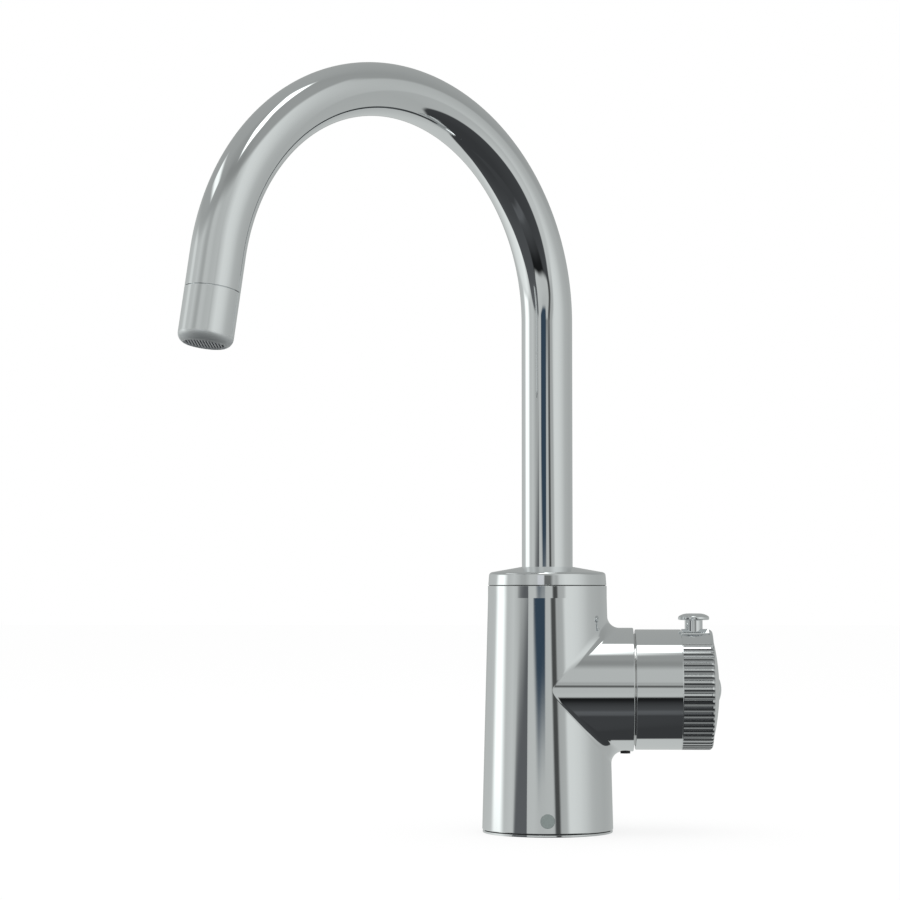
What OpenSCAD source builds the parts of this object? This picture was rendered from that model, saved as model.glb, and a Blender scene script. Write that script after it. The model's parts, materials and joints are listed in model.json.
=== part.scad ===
// Boiling water tap: a tapered pillar body with a swan-neck spout on top and a
// turning knob on a stub at its side. A spring button on the knob frees the
// boiling water. Two separate waterways run up the spout, one inside the other.
// Origin: centre of the base on the worktop. +Z is up, the knob points along +X
// and the front is towards -Y. All lengths are in millimetres.

/* [Spout] */
// Outer diameter of the spout tube
tube_d = 22; // [20:0.5:24]
// Wall of the spout tube
tube_wall = 1.2; // [1:0.1:1.6]
// Radius of the arch, to the middle of the tube
arch_r = 90.9; // [80:0.5:100]
// Height of the arch's centre above the worktop
arch_z = 220.4; // [200:0.5:240]
// Angle that the tube turns through in the arch
arch_sweep = 170; // [160:1:178]
// Straight stretch between the arch and the nozzle
tail_len = 14.8; // [12:0.2:22]
// Turn of the resting spout from opposite the knob towards the front
spout_rest = 44.5; // [0:0.5:90]
// Diameter of the boiling water tube inside the spout
inner_tube_d = 8; // [7:0.25:9]
// Wall of the boiling water tube
inner_tube_wall = 1; // [0.6:0.1:1.4]
// Number of star spacers that centre the inner tube in the riser
riser_spacers = 2; // [1:1:4]

/* [Nozzle] */
// Length of the nozzle sleeve below its joint line
nozzle_len = 22.05; // [19:0.05:26]
// Radius that rounds the sleeve in to its lip
lip_round = 4; // [3:0.1:4.5]
// Wall between the sleeve's outside and the outlet opening
lip_wall = 2.55; // [2.2:0.05:3]
// Number of slats across the outlet
slat_count = 12; // [8:1:16]
// Thickness of one slat
slat_w = 0.5; // [0.4:0.05:0.6]
// Height of the slats along the stream
slat_h = 2.4; // [1.5:0.1:3]
// Turn of the slats about the stream
slat_angle = 135; // [0:5:175]
// Width of the joint line between the tube and the nozzle sleeve
joint_line = 0.25; // [0.2:0.05:0.5]

/* [Body] */
// Diameter of the pillar at the worktop
base_d = 56.56; // [54.5:0.1:58]
// Diameter of the pillar at its top seam
top_d = 51.12; // [50.2:0.02:53]
// Height of the top seam
body_h = 106.1; // [104:0.1:112]
// Wall between the pillar's bore and its narrow end
body_wall = 3.5; // [3.2:0.1:4]
// Rounding of the pillar's foot
foot_round = 0.4; // [0.3:0.1:1.2]
// Thickness of the base ring
base_ring_h = 0.95; // [0.8:0.05:2]
// Step from the foot of the pillar in to the base ring
base_ring_step = 0.25; // [0.1:0.05:1]
// Thickness of the gasket seen as a dark seam over the base ring
gasket_h = 0.35; // [0.25:0.05:0.6]
// Height of the plug that closes the pillar's foot
insert_h = 14; // [12:0.5:16]

/* [Top cap] */
// Seam between the pillar and the cap
cap_seam = 0.3; // [0.25:0.05:0.6]
// Step from the pillar's top edge in to the cap's side
cap_step = 0; // [0:0.05:0.5]
// Lean of the cap's side inwards, from its foot to its top
cap_draft = 0.3; // [0:0.05:0.6]
// Height of the cap's upright side
cap_side_h = 5.6; // [4.5:0.1:6.5]
// Rise of the cap's cone from its side to the spout
cap_rise = 2.3; // [2:0.1:5]
// Rounding between the cap's side and its cone
cap_round = 1.6; // [0.5:0.1:2]
// Depth of the cap's screwed skirt inside the pillar
skirt_len = 6; // [5:0.1:7]

/* [Side branch] */
// Diameter of the stub that carries the knob
branch_d = 53.2; // [52:0.1:53.3]
// Distance from the pillar's axis to the stub's end face
branch_len = 37; // [36:0.1:42]
// Distance from the top seam down to the stub's axis
branch_drop = 44.75; // [44:0.05:47]
// Wall of the stub around the valve carrier
branch_wall = 5.1; // [4.6:0.1:5.6]
// Radius of the blend between the pillar and the stub
blend_r = 5.1; // [3:0.1:7]
// Number of sections round the blend
blend_sections = 72; // [48:4:96]
// Number of faces across the blend
blend_faces = 6; // [4:1:8]

/* [Knob] */
// Gap between the stub's end face and the knob
knob_gap = 0.8; // [0.5:0.1:1.2]
// Diameter of the knob's plain sleeve
knob_d = 51.8; // [51:0.1:53]
// Length of the knob's plain sleeve
sleeve_len = 19.7; // [19:0.1:24]
// Wall of the knob's sleeve and grip ring
knob_wall = 2.9; // [2.6:0.1:3.2]
// Length of the ribbed grip ring
grip_len = 13.7; // [13.2:0.1:15]
// Number of ribs in a full circle
rib_count = 60; // [48:2:66]
// Radius of the cutter that makes the grooves between ribs
rib_cutter_r = 0.95; // [0.8:0.01:1]
// Plain angle each side of the button, without ribs
plain_half_angle = 41; // [36:1:60]
// Rounding of the grip ring's outer corner
grip_round = 1.8; // [1:0.1:2]
// Bulge of the end cap beyond its edge
end_dome = 3.3; // [2:0.1:4.5]
// Diameter of the small cap at the knob's centre
centre_d = 9.8; // [9.2:0.1:12]
// Rise of the centre cap over the end cap
centre_rise = 1; // [0.6:0.1:1.5]

/* [Lock button] */
// Diameter of the button's head
head_d = 13.4; // [12:0.1:14]
// Height of the button's head
head_h = 2.8; // [2.4:0.1:3.2]
// Rounding of the head's rim
head_round = 0.8; // [0.5:0.1:0.9]
// Diameter of the button's stem
stem_d = 7.7; // [7:0.02:8]
// Travel of the button
press_travel = 3; // [2:0.1:3.4]
// Distance from the grip ring's inner end to the button's axis
button_from_ring = 5.7; // [5.4:0.05:6]
// Height of the button guide's flat top over the pocket in the ring
guide_h = 2.25; // [1.8:0.05:2.4]
// Upright foot of the guide below its slopes
guide_foot_h = 0.6; // [0.4:0.05:0.9]
// Width of the guide's flat top
guide_top_w = 5.4; // [4.5:0.1:6]

/* [Valve] */
// Length of the cartridge seat inside the stub
cartridge_len = 30; // [28:0.5:32]
// Diameter of the cartridge
cartridge_d = 28; // [26:0.5:30]
// Wall of the cartridge housing
cartridge_wall = 1.7; // [1.4:0.1:2]
// Thickness of each ceramic disc
disc_t = 3.5; // [3:0.1:4]
// Diameter of the spindle where it passes the seals
spindle_d = 12; // [11:0.1:12.4]
// Outer diameter of the fixed stop sleeve round the spindle
stop_d = 16; // [15.6:0.1:16.6]
// Turn of the knob from rest to either end
knob_turn = 90; // [60:5:90]

/* [Base interfaces] */
// Diameter of the hole tapped M8 for the fixing stud
stud_hole_d = 6.8; // [6.4:0.1:7]
// Depth of the fixing stud hole
stud_hole_h = 12; // [8:0.5:12]
// Diameter of each water inlet, tapped M10 x 1
inlet_d = 9; // [8.6:0.1:9.4]
// Depth of each inlet's thread
inlet_h = 9; // [8:0.5:10]
// Distance of the inlets from the middle, both ways
inlet_xy = 9; // [8.6:0.1:9.4]
// Outer diameter of the copper feed pipes
feed_d = 8; // [7:0.1:8]
// Wall of the feed pipes
feed_wall = 1; // [0.7:0.1:1.2]
// Diameter of the indicator lens at the front
lens_d = 6; // [4:0.1:7]
// Height of the indicator lens
lens_z = 6.8; // [6:0.1:8]

/* [Hidden] */
$fn = 96;

// Clearances
fit = 0.05;        // between fixed pieces, on the radius
run = 0.06;        // running fit, on the radius
clear = 0.35;      // between pieces that pass each other
eps = 1;           // overshoot of a cutter past a face
sink = 0.04;       // depth that the blend's edges lie inside the metal
lap = 0.3;         // how far a straight stretch of tube laps into the arch
weld = 0.05;       // how much thinner it is there, on the radius

// Pillar
base_r = base_d / 2;
top_r = top_d / 2;
shell_z = base_ring_h + gasket_h;
bore_r = top_r - body_wall;
skirt_r = bore_r + 1;
skirt_wall = 4;
ring_bore_r = bore_r + fit;
base_ring_r = base_r - base_ring_step;
edge = 0.3;        // small broken edge
seam_edge = 0.1;   // the same beside the cap's seam

// Branch and valve carrier
branch_z = body_h - branch_drop;
branch_r = branch_d / 2;
carrier_bore_r = branch_r - branch_wall;
carrier_r = carrier_bore_r - fit;
flange_r = branch_r - 2.6;
flange_sunk = 0.8;
flange_out = 2.3;
flange_x = branch_len + flange_out;
seat_x = branch_len - cartridge_len;
cartridge_r = cartridge_d / 2;
cavity_r = cartridge_r - cartridge_wall;
disc_r = cavity_r - 0.1;
base_disc_t = 3;
disc_gap = 0.05;
fixed_x = seat_x + base_disc_t;
moving_x = fixed_x + disc_t + disc_gap;
driver_x = moving_x + disc_t;
driver_t = 3.3;
driver_r = disc_r - 0.6;
neck_x = driver_x + driver_t + clear;
housing_end = neck_x + 8.4;
spindle_r = spindle_d / 2;
port_r = 2.2;
port_offset = 6.5;
port_drop = 3.4;
gallery_r = 2.4;
gallery_x = -inlet_xy;

// Knob, measured along +X from the pillar's axis
sleeve_x = branch_len + knob_gap;
knob_r = knob_d / 2;
knob_bore_r = knob_r - knob_wall;
ring_x = sleeve_x + sleeve_len;
knob_end = ring_x + grip_len;
cap_seat_r = knob_r - grip_round + 0.25;
cap_recess = 1.3;
hub_r = knob_bore_r - fit;
hub_x = flange_x + 5.5;
hub_end = knob_end - cap_recess;
hub_wall_x = hub_end - 3.6;
stop_r = stop_d / 2;
stop_bore_r = spindle_r + 0.45;
stop_foot_t = 2;
stop_foot_r = stop_r + 3;
stop_end = hub_wall_x - 0.6;
nut_x = housing_end + fit;
nut_end = branch_len - 1;
button_x = ring_x + button_from_ring;

// Lock button, heights above the knob's axis
pocket_floor = knob_r - guide_h + 0.15;
guide_top = pocket_floor + guide_h;
head_gap = press_travel + 0.95;
head_z = guide_top + head_gap;
head_r = head_d / 2;
head_flat_r = 2.5;
head_foot_round = 0.5;
crown_drop = head_h - 1;
stem_r = stem_d / 2;
guide_bush_r = stem_r + 1.42;
hub_pocket_r = guide_bush_r + 0.1;
bush_end = pocket_floor - 6.2;
pin_flange_t = 1.2;
pin_flange_r = hub_pocket_r - clear - 0.05;
pin_flange_z = bush_end - 0.1 - pin_flange_t;
pin_r = 1.5;
pin_thread_r = 1.45;
pin_tip = stop_r + 1 + press_travel;
spring_seat = pin_flange_z - press_travel - 2.2;
spring_wire = 0.5;
spring_turns = 3.5;
spring_r = pin_r + clear + 0.1 + spring_wire + 1;
rib_step = 360 / rib_count;
rib_cutter_out = 0.3;  // of the groove cutter's axis, outside the ring

// Top socket and spout
tube_r = tube_d / 2;
tube_bore_r = tube_r - tube_wall;
straight_r = tube_r - weld;
straight_bore_r = tube_bore_r - weld;
socket_top = body_h - skirt_len - 0.2;
socket_z = branch_z + carrier_r + 0.8;
socket_floor = 3;
flange_space = 4.8;
thrust_z = socket_top - flange_space;
plug_r = tube_r - 1.25;
plug_z = socket_z + socket_floor + 0.3;
bush_r = tube_r + 2;
foot_flange_r = tube_r + 1.5;
foot_flange_z = thrust_z + 0.1;
foot_flange_t = 2.2;
tube_z = foot_flange_z + foot_flange_t;
bush_z = tube_z + 0.3;
bush_shoulder_r = bush_r + 3;
cap_z = body_h + cap_seam;
cap_r = top_r - cap_step;
inner_r = inner_tube_d / 2;
inner_bore_r = inner_r - inner_tube_wall;
foot_spigot = 10.5;
o_ring_r = 0.85;
outlet_r = tube_r - lip_wall;
sleeve_spigot = 6;
straightener_r = outlet_r - fit;
straightener_wall = 0.8;
lip_drop = sqrt(pow(lip_round, 2) - pow(lip_round - lip_wall, 2));
feed_r = feed_d / 2;

// Colours
chrome = [0.80, 0.81, 0.82];
brass = [0.80, 0.66, 0.36];
rubber = [0.08, 0.08, 0.08];
plastic = [0.20, 0.21, 0.23];
white_plastic = [0.88, 0.88, 0.86];
ceramic = [0.95, 0.94, 0.90];
copper = [0.78, 0.47, 0.30];
steel = [0.62, 0.63, 0.65];

// ---- helpers ----

// Radius of the pillar's outside at height z
function pillar_r(z) = base_r + (top_r - base_r) * z / body_h;

// Points of an arc from angle a0 to a1, n steps
function arc(cx, cy, r, a0, a1, n) =
    [for (i = [0:n]) [cx + r * cos(a0 + (a1 - a0) * i / n), cy + r * sin(a0 + (a1 - a0) * i / n)]];

// Solid ring or tube
module tube(outer, inner, h) {
    difference() {
        cylinder(r = outer, h = h);
        translate([0, 0, -eps]) cylinder(r = inner, h = h + 2 * eps);
    }
}

// O-ring in the XY plane, at the children's origin
module o_ring(inner, thick) {
    rotate_extrude() translate([inner + thick, 0]) circle(r = thick, $fn = 24);
}

// Children's +Z runs along +X from the middle of the pillar at the knob's height
module on_knob_axis(x = 0) {
    translate([x, 0, branch_z]) rotate([0, 90, 0]) children();
}

// Children stand on the button's axis, with z = 0 on the knob's axis
module on_button_axis() {
    translate([button_x, 0, branch_z]) children();
}

// Spout frame: the arch lies in the children's XZ plane and leans to their +X
module at_spout() {
    rotate([0, 0, 180 + spout_rest]) children();
}

// End of the arch: the children's +Z is the way that the water flows
module at_arch_end() {
    translate([arch_r, 0, arch_z]) rotate([0, arch_sweep, 0]) translate([-arch_r, 0, 0]) children();
}

// Solid length that follows the spout's centre line, from z0 to a straight tail.
// Both straight stretches lap a little way into the arch.
module spout_core(r, z0, tail) {
    translate([0, 0, z0]) cylinder(r = r - weld, h = arch_z + lap - z0);
    translate([arch_r, 0, arch_z]) rotate([90, 0, 180])
        rotate_extrude(angle = arch_sweep) translate([arch_r, 0]) circle(r = r);
    at_arch_end() translate([0, 0, -lap]) cylinder(r = r - weld, h = tail + lap);
}

// Bent tube along the same line, open at both ends
module along_spout(outer, inner, z0, tail) {
    difference() {
        spout_core(outer, z0, tail);
        spout_core(inner, z0 - eps, tail + eps);
    }
}

// ---- pillar ----

// Outside of the pillar, with a rounded foot
module pillar_skin() {
    foot_z = shell_z;
    r = foot_round;
    rotate_extrude() polygon(concat(
        [[0, foot_z]],
        arc(pillar_r(foot_z + r) - r, foot_z + r, r, -90, 0, 8),
        [[pillar_r(body_h - seam_edge), body_h - seam_edge],
        [top_r - seam_edge, body_h], [0, body_h]]));
}

// Centre of the ball that rolls in the corner, at angle a round the stub
function ball_y(a) = (branch_r + blend_r) * sin(a);
function ball_z(a) = branch_z + (branch_r + blend_r) * cos(a);
function ball_x(a) = sqrt(pow(pillar_r(ball_z(a)) + blend_r, 2) - pow(ball_y(a), 2));
// Directions from the ball's centre to the stub and to the pillar
function to_stub(a) = [0, -sin(a), -cos(a)];
function to_pillar(a) = let (c = [ball_x(a), ball_y(a)]) [-c[0], -c[1], 0] / norm(c);
// Unit vector between u and v, part t of the way
function between(u, v, t) = let (w = u * (1 - t) + v * t) w / norm(w);
// One section: the concave face first, then one corner deep in the metal
function blend_section(a) =
    let (c = [ball_x(a), ball_y(a), ball_z(a)], s = to_stub(a), p = to_pillar(a),
        inward = (s + p) / norm(s + p))
    concat(
        [for (i = [0:blend_faces]) c + inward * sink + blend_r * between(s, p, i / blend_faces)],
        [c + (s + p) * (blend_r + 1.2)]);

// Concave blend round the foot of the stub
module branch_blend() {
    m = blend_faces + 2;
    n = blend_sections;
    points = [for (k = [0:n - 1]) each blend_section(360 * k / n)];
    faces = [for (k = [0:n - 1]) for (i = [0:m - 1])
        let (a = k * m + i, b = k * m + (i + 1) % m,
            c = ((k + 1) % n) * m + (i + 1) % m, d = ((k + 1) % n) * m + i)
        each [[a, b, c], [a, c, d]]];
    polyhedron(points = points, faces = faces, convexity = 6);
}

module stub_skin() {
    on_knob_axis() {
        cylinder(r = branch_r, h = branch_len - edge);
        translate([0, 0, branch_len - edge])
            cylinder(r1 = branch_r, r2 = branch_r - edge, h = edge);
    }
}

module body_shell() {
    color(chrome) difference() {
        union() {
            pillar_skin();
            stub_skin();
            branch_blend();
        }
        translate([0, 0, -eps]) cylinder(r = bore_r, h = body_h + 2 * eps);
        translate([0, 0, body_h - skirt_len]) cylinder(r = skirt_r + fit, h = skirt_len + eps);
        on_knob_axis() cylinder(r = carrier_bore_r, h = branch_len + eps);
        on_knob_axis(branch_len - flange_sunk - fit)
            cylinder(r = flange_r + 2 * fit, h = flange_sunk + eps);
        lens_hole(lens_d / 2 + fit);
        grub_bore(grub_r + fit);
    }
}

module lens_hole(r) {
    translate([0, -bore_r + 2, lens_z]) rotate([90, 0, 0]) cylinder(r = r, h = base_r);
}

module base_ring() {
    color(chrome) rotate_extrude() polygon([[ring_bore_r, 0], [base_ring_r - edge, 0],
        [base_ring_r, edge], [base_ring_r, base_ring_h], [ring_bore_r, base_ring_h]]);
}

module base_gasket() {
    color(rubber) translate([0, 0, base_ring_h]) tube(base_ring_r - 1, ring_bore_r, gasket_h);
}

// Plug in the pillar's foot, tapped for the stud and for both inlets
insert_r = bore_r - fit;
seal_groove = 2;
seal_r = insert_r - 1.4;
seal_w = 2.4;
led_r = 2.5;
led_len = 6;

module inlets() {
    for (s = [-1, 1]) translate([gallery_x, s * inlet_xy, 0]) children();
}

module base_insert() {
    color(brass) difference() {
        cylinder(r = insert_r, h = insert_h);
        translate([0, 0, -eps]) cylinder(r = stud_hole_d / 2, h = stud_hole_h + eps);
        inlets() translate([0, 0, -eps]) cylinder(r = inlet_d / 2, h = inlet_h + eps);
        inlets() cylinder(r = feed_r + fit, h = insert_h + eps);
        translate([0, 0, -eps]) tube(seal_r, seal_r - seal_w, seal_groove + eps);
        translate([0, -insert_r + led_len, lens_z]) rotate([90, 0, 0])
            cylinder(r = led_r + fit, h = led_len + eps);
    }
}

module worktop_seal() {
    color(rubber) tube(seal_r - fit, seal_r - seal_w + fit, seal_groove - fit);
}

// Feed pipe from an inlet up into the valve carrier
carrier_socket = 4;
pipe_floor_z = branch_z - sqrt(pow(carrier_r, 2) - pow(inlet_xy, 2)) + carrier_socket;

module feed_pipe(side) {
    color(copper) translate([gallery_x, side * inlet_xy, inlet_h + fit])
        tube(feed_r, feed_r - feed_wall, pipe_floor_z - inlet_h - 2 * fit);
}

module boiling_feed_pipe() {
    feed_pipe(-1);
}

module filtered_feed_pipe() {
    feed_pipe(1);
}

outlet_pipe_z = branch_z + carrier_r - carrier_socket;
outlet_pipe_end = socket_z + socket_floor - fit;

module outlet_pipe() {
    color(copper) translate([0, 0, outlet_pipe_z + fit])
        tube(feed_r, feed_r - feed_wall, outlet_pipe_end - outlet_pipe_z - fit);
}

// Flush with the pillar's outside
module indicator_lens() {
    color([0.60, 0.63, 0.65]) intersection() {
        translate([0, -insert_r - fit, lens_z]) rotate([90, 0, 0])
            cylinder(r = lens_d / 2, h = base_r);
        pillar_skin();
    }
}

module indicator_led() {
    color([0.9, 0.3, 0.2]) translate([0, -insert_r + led_len - fit, lens_z])
        rotate([90, 0, 0]) cylinder(r = led_r, h = led_len - fit);
}

grub_r = 2.14;
grub_x = branch_len - 3.45;
grub_proud = 0.9;
grub_tip = carrier_r - 1.2;

module grub_bore(r) {
    translate([grub_x, 0, branch_z - branch_r - grub_proud - eps])
        cylinder(r = r, h = branch_r + grub_proud + eps - grub_tip);
}

module grub_screw() {
    color(plastic) difference() {
        translate([grub_x, 0, branch_z - branch_r - grub_proud])
            cylinder(r = grub_r, h = branch_r + grub_proud - grub_tip - fit);
        translate([grub_x, 0, branch_z - branch_r - grub_proud - eps])
            cylinder(r = grub_r * 0.55, h = 2.2 + eps, $fn = 6);
    }
}

// ---- valve ----

// Brass block in the stub: seat of the cartridge, and the galleries to it
module valve_carrier() {
    color(brass) difference() {
        union() {
            intersection() {
                on_knob_axis(-bore_r) cylinder(r = carrier_r, h = bore_r + branch_len - flange_sunk);
                union() {
                    cylinder(r = bore_r - fit, h = body_h);
                    translate([0, -base_r, 0]) cube([branch_len, base_d, body_h]);
                }
            }
            on_knob_axis(branch_len - flange_sunk) cylinder(r = flange_r, h = flange_out + flange_sunk);
        }
        on_knob_axis(seat_x) cylinder(r = cartridge_r + fit, h = flange_x);
        grub_bore(grub_r + fit);
        inlets() cylinder(r = feed_r + fit, h = pipe_floor_z);
        inlets() cylinder(r = gallery_r, h = branch_z - port_drop);
        for (s = [-1, 1]) translate([gallery_x, s * port_offset, branch_z - port_drop])
            rotate([0, 90, 0]) cylinder(r = gallery_r, h = seat_x - gallery_x + eps);
        translate([0, 0, outlet_pipe_z]) cylinder(r = feed_r + fit, h = body_h);
        translate([0, 0, branch_z + port_offset]) cylinder(r = gallery_r, h = body_h);
        translate([-gallery_r, 0, branch_z + port_offset])
            rotate([0, 90, 0]) cylinder(r = gallery_r, h = seat_x + gallery_r + eps);
    }
}

// The three ports of the cartridge: two in, one out
module ports(x) {
    for (s = [-1, 1]) translate([x, s * port_offset, branch_z - port_drop]) rotate([0, 90, 0]) children();
    translate([x, 0, branch_z + port_offset]) rotate([0, 90, 0]) children();
}

seal_thick = 0.6;

module cartridge_base() {
    color(white_plastic) difference() {
        on_knob_axis(seat_x + fit) cylinder(r = cavity_r - fit, h = base_disc_t - fit);
        ports(seat_x - eps) cylinder(r = port_r, h = base_disc_t + 2 * eps);
        ports(seat_x + fit - eps)
            tube(port_r + 2 * seal_thick + 0.3, port_r + 0.2, seal_thick * 2 + eps);
    }
}

module port_seals() {
    color(rubber) ports(seat_x + fit + seal_thick) o_ring(port_r + 0.25, seal_thick - 0.02);
}

module cartridge_housing() {
    color(plastic) difference() {
        on_knob_axis(seat_x + fit) cylinder(r = cartridge_r, h = housing_end - seat_x - fit);
        on_knob_axis(seat_x - eps) cylinder(r = cavity_r, h = neck_x - seat_x + eps);
        on_knob_axis(seat_x) cylinder(r = spindle_r + run, h = housing_end);
    }
}

module fixed_disc() {
    color(ceramic) difference() {
        on_knob_axis(fixed_x) cylinder(r = cavity_r - fit, h = disc_t);
        ports(fixed_x - eps) cylinder(r = port_r, h = disc_t + 2 * eps);
    }
}

// The chamber joins one inlet to the outlet as the disc turns
chamber_extra = 20;

module moving_disc() {
    color(ceramic) difference() {
        on_knob_axis(moving_x) cylinder(r = disc_r - clear, h = disc_t);
        on_knob_axis(moving_x - eps) rotate([0, 0, 180]) rotate_extrude(angle = knob_turn + chamber_extra)
            translate([port_offset - port_r, 0]) square([2 * port_r, eps + disc_t * 0.55]);
    }
}

// Screwed ring that clamps the housing and the stop sleeve's foot
module cartridge_nut() {
    color(brass) difference() {
        on_knob_axis(nut_x) cylinder(r = cartridge_r, h = nut_end - nut_x);
        on_knob_axis(nut_x - eps) cylinder(r = stop_foot_r + fit, h = stop_foot_t + fit + eps);
        on_knob_axis(nut_x) cylinder(r = stop_r + fit, h = nut_end);
        for (a = [0, 90, 180, 270]) on_knob_axis(nut_end - 2) rotate([0, 0, a])
            translate([stop_r - eps, -1.5, 0]) cube([cartridge_r, 3, 2 + eps]);
    }
}

// Fixed sleeve with the notch that the lock pin is timed to
notch_w = 3.6;
notch_h = 0.8;

module stop_sleeve() {
    color(steel) difference() {
        union() {
            on_knob_axis(nut_x) cylinder(r = stop_foot_r, h = stop_foot_t);
            on_knob_axis(nut_x) cylinder(r = stop_r, h = stop_end - nut_x);
        }
        on_knob_axis() cylinder(r = stop_bore_r, h = knob_end);
        translate([button_x - notch_w / 2, -notch_w / 2, branch_z + stop_r - notch_h])
            cube([knob_end, notch_w, knob_r]);
    }
}

// ---- rotating pieces of the knob ----

shaft_end = hub_wall_x + 1.8;
shaft_r = 4;
shaft_flat = 6.4;
screw_r = 1.9;
screw_head_r = 3.6;
screw_head_t = 1.6;
screw_len = 9;
groove_w = 1.7;
spindle_ring_r = 0.55;

module double_d(r, flat, h) {
    intersection() {
        cylinder(r = r, h = h);
        translate([-flat / 2, -r - eps, 0]) cube([flat, 2 * (r + eps), h]);
    }
}

// Places of the two seals along the spindle's neck
function seal_x(i) = neck_x + 2.2 + i * 3.4;

module spindle() {
    color(brass) difference() {
        union() {
            on_knob_axis(driver_x) cylinder(r = driver_r, h = driver_t);
            on_knob_axis(driver_x) cylinder(r = spindle_r, h = stop_end + 0.3 - driver_x);
            on_knob_axis(stop_end) double_d(shaft_r, shaft_flat, shaft_end - stop_end);
        }
        for (i = [0, 1]) on_knob_axis(seal_x(i) - groove_w / 2)
            tube(spindle_r + eps, spindle_r - 2 * spindle_ring_r - fit, groove_w);
        on_knob_axis(shaft_end - screw_len) cylinder(r = screw_r + fit, h = screw_len + eps);
    }
}

module spindle_o_rings() {
    color(rubber) for (i = [0, 1]) on_knob_axis(seal_x(i))
        o_ring(spindle_r - 2 * spindle_ring_r, spindle_ring_r);
}

module knob_hub() {
    color(plastic) difference() {
        on_knob_axis(hub_x) cylinder(r = hub_r, h = hub_end - hub_x);
        on_knob_axis(hub_x - eps) cylinder(r = stop_r + clear, h = hub_wall_x - hub_x + eps);
        on_knob_axis(hub_x) double_d(shaft_r + fit, shaft_flat + 2 * fit, shaft_end - hub_x);
        on_knob_axis(hub_x) cylinder(r = screw_r + 0.2, h = hub_end);
        on_knob_axis(hub_end - screw_head_t - 0.2) cylinder(r = screw_head_r + 0.2, h = knob_end);
        on_button_axis() translate([0, 0, spring_seat]) cylinder(r = hub_pocket_r, h = knob_r);
        on_button_axis() cylinder(r = pin_r + clear, h = knob_r);
    }
}

module handle_screw() {
    color(steel) difference() {
        union() {
            on_knob_axis(shaft_end - screw_len + 1) cylinder(r = screw_r, h = hub_end - shaft_end + screw_len - 1.5);
            on_knob_axis(hub_end - screw_head_t - 0.15) cylinder(r = screw_head_r, h = screw_head_t);
        }
        on_knob_axis(hub_end - 1.2) cylinder(r = 1.5, h = 1.2 + eps, $fn = 6);
    }
}

// Flat pocket across the top of the ring, which the button guide sits in
pocket_rim = 1.6;
guide_lead = button_from_ring - guide_bush_r - 0.05;

module button_pocket() {
    on_button_axis() translate([ring_x - eps - button_x, -knob_r, pocket_floor])
        cube([eps + grip_len - pocket_rim, knob_d, knob_r]);
}

module knob_sleeve() {
    color(chrome) difference() {
        on_knob_axis(sleeve_x) rotate_extrude() polygon([[knob_bore_r, 0], [knob_r - edge, 0],
            [knob_r, edge], [knob_r, sleeve_len], [knob_bore_r, sleeve_len]]);
        on_knob_axis(sleeve_x - eps) cylinder(r = flange_r + clear, h = flange_x + clear + eps - sleeve_x);
    }
}

module ring_blank() {
    r = grip_round;
    rotate_extrude() polygon(concat(
        [[knob_bore_r, 0], [knob_r, 0]],
        arc(knob_r - r, grip_len - r, r, 0, 62, 8),
        [[cap_seat_r + fit, grip_len - r + r * sin(62)],
        [cap_seat_r + fit, grip_len - cap_recess], [knob_bore_r, grip_len - cap_recess]]));
}

// Grooves between the ribs, all round except beside the button
module grip_ring() {
    color(chrome) difference() {
        on_knob_axis(ring_x) ring_blank();
        for (k = [1:rib_count - 1])
            let (a = k * rib_step)
            if (a > plain_half_angle && a < 360 - plain_half_angle)
                on_knob_axis(ring_x + edge) rotate([0, 0, 180 + a])
                    translate([knob_r + rib_cutter_out, 0, 0])
                    cylinder(r = rib_cutter_r, h = grip_len, $fn = 24);
        button_pocket();
        on_button_axis() cylinder(r = guide_bush_r + fit, h = knob_r);
    }
}

// Sloped insert round the stem, with a bush down into the hub
module button_guide() {
    top = guide_top_w / 2;
    wide = top + guide_h - guide_foot_h;
    foot = wide - 0.35;
    lo = ring_x + guide_lead - button_x;
    hi = ring_x + grip_len - pocket_rim - 0.1 - button_x;
    color(chrome) on_button_axis() difference() {
        union() {
            translate([lo, 0, pocket_floor]) rotate([90, 0, 90]) linear_extrude(height = hi - lo)
                polygon([[-foot, 0], [foot, 0], [foot, guide_foot_h], [wide, guide_foot_h],
                    [top, guide_h], [-top, guide_h], [-wide, guide_foot_h], [-foot, guide_foot_h]]);
            translate([0, 0, bush_end]) cylinder(r = guide_bush_r, h = pocket_floor - bush_end + 0.5);
        }
        cylinder(r = stem_r + run, h = guide_top + eps);
    }
}

// Sphere that bounds the end cap
dome_edge_r = cap_seat_r;
dome_r = (pow(dome_edge_r, 2) + pow(end_dome, 2)) / (2 * end_dome);
dome_edge_x = knob_end - 0.5;
dome_top = dome_edge_x + end_dome;
centre_r = centre_d / 2;
centre_seat = dome_top - 1.8;

module end_cap() {
    color(chrome) difference() {
        intersection() {
            on_knob_axis(hub_end + 0.1) cylinder(r = dome_edge_r, h = end_dome + cap_recess);
            on_knob_axis(dome_top - dome_r) sphere(r = dome_r, $fn = 180);
        }
        on_knob_axis(centre_seat) cylinder(r = centre_r + fit, h = end_dome);
    }
}

module centre_cap() {
    r = centre_r;
    h = dome_top + centre_rise - centre_seat;
    color(chrome) on_knob_axis(centre_seat + fit) rotate_extrude() polygon(concat(
        [[0, 0], [r, 0]], arc(r - 0.6, h - 0.9, 0.6, 0, 70, 5), [[r * 0.5, h - 0.12], [0, h - fit]]));
}

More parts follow.
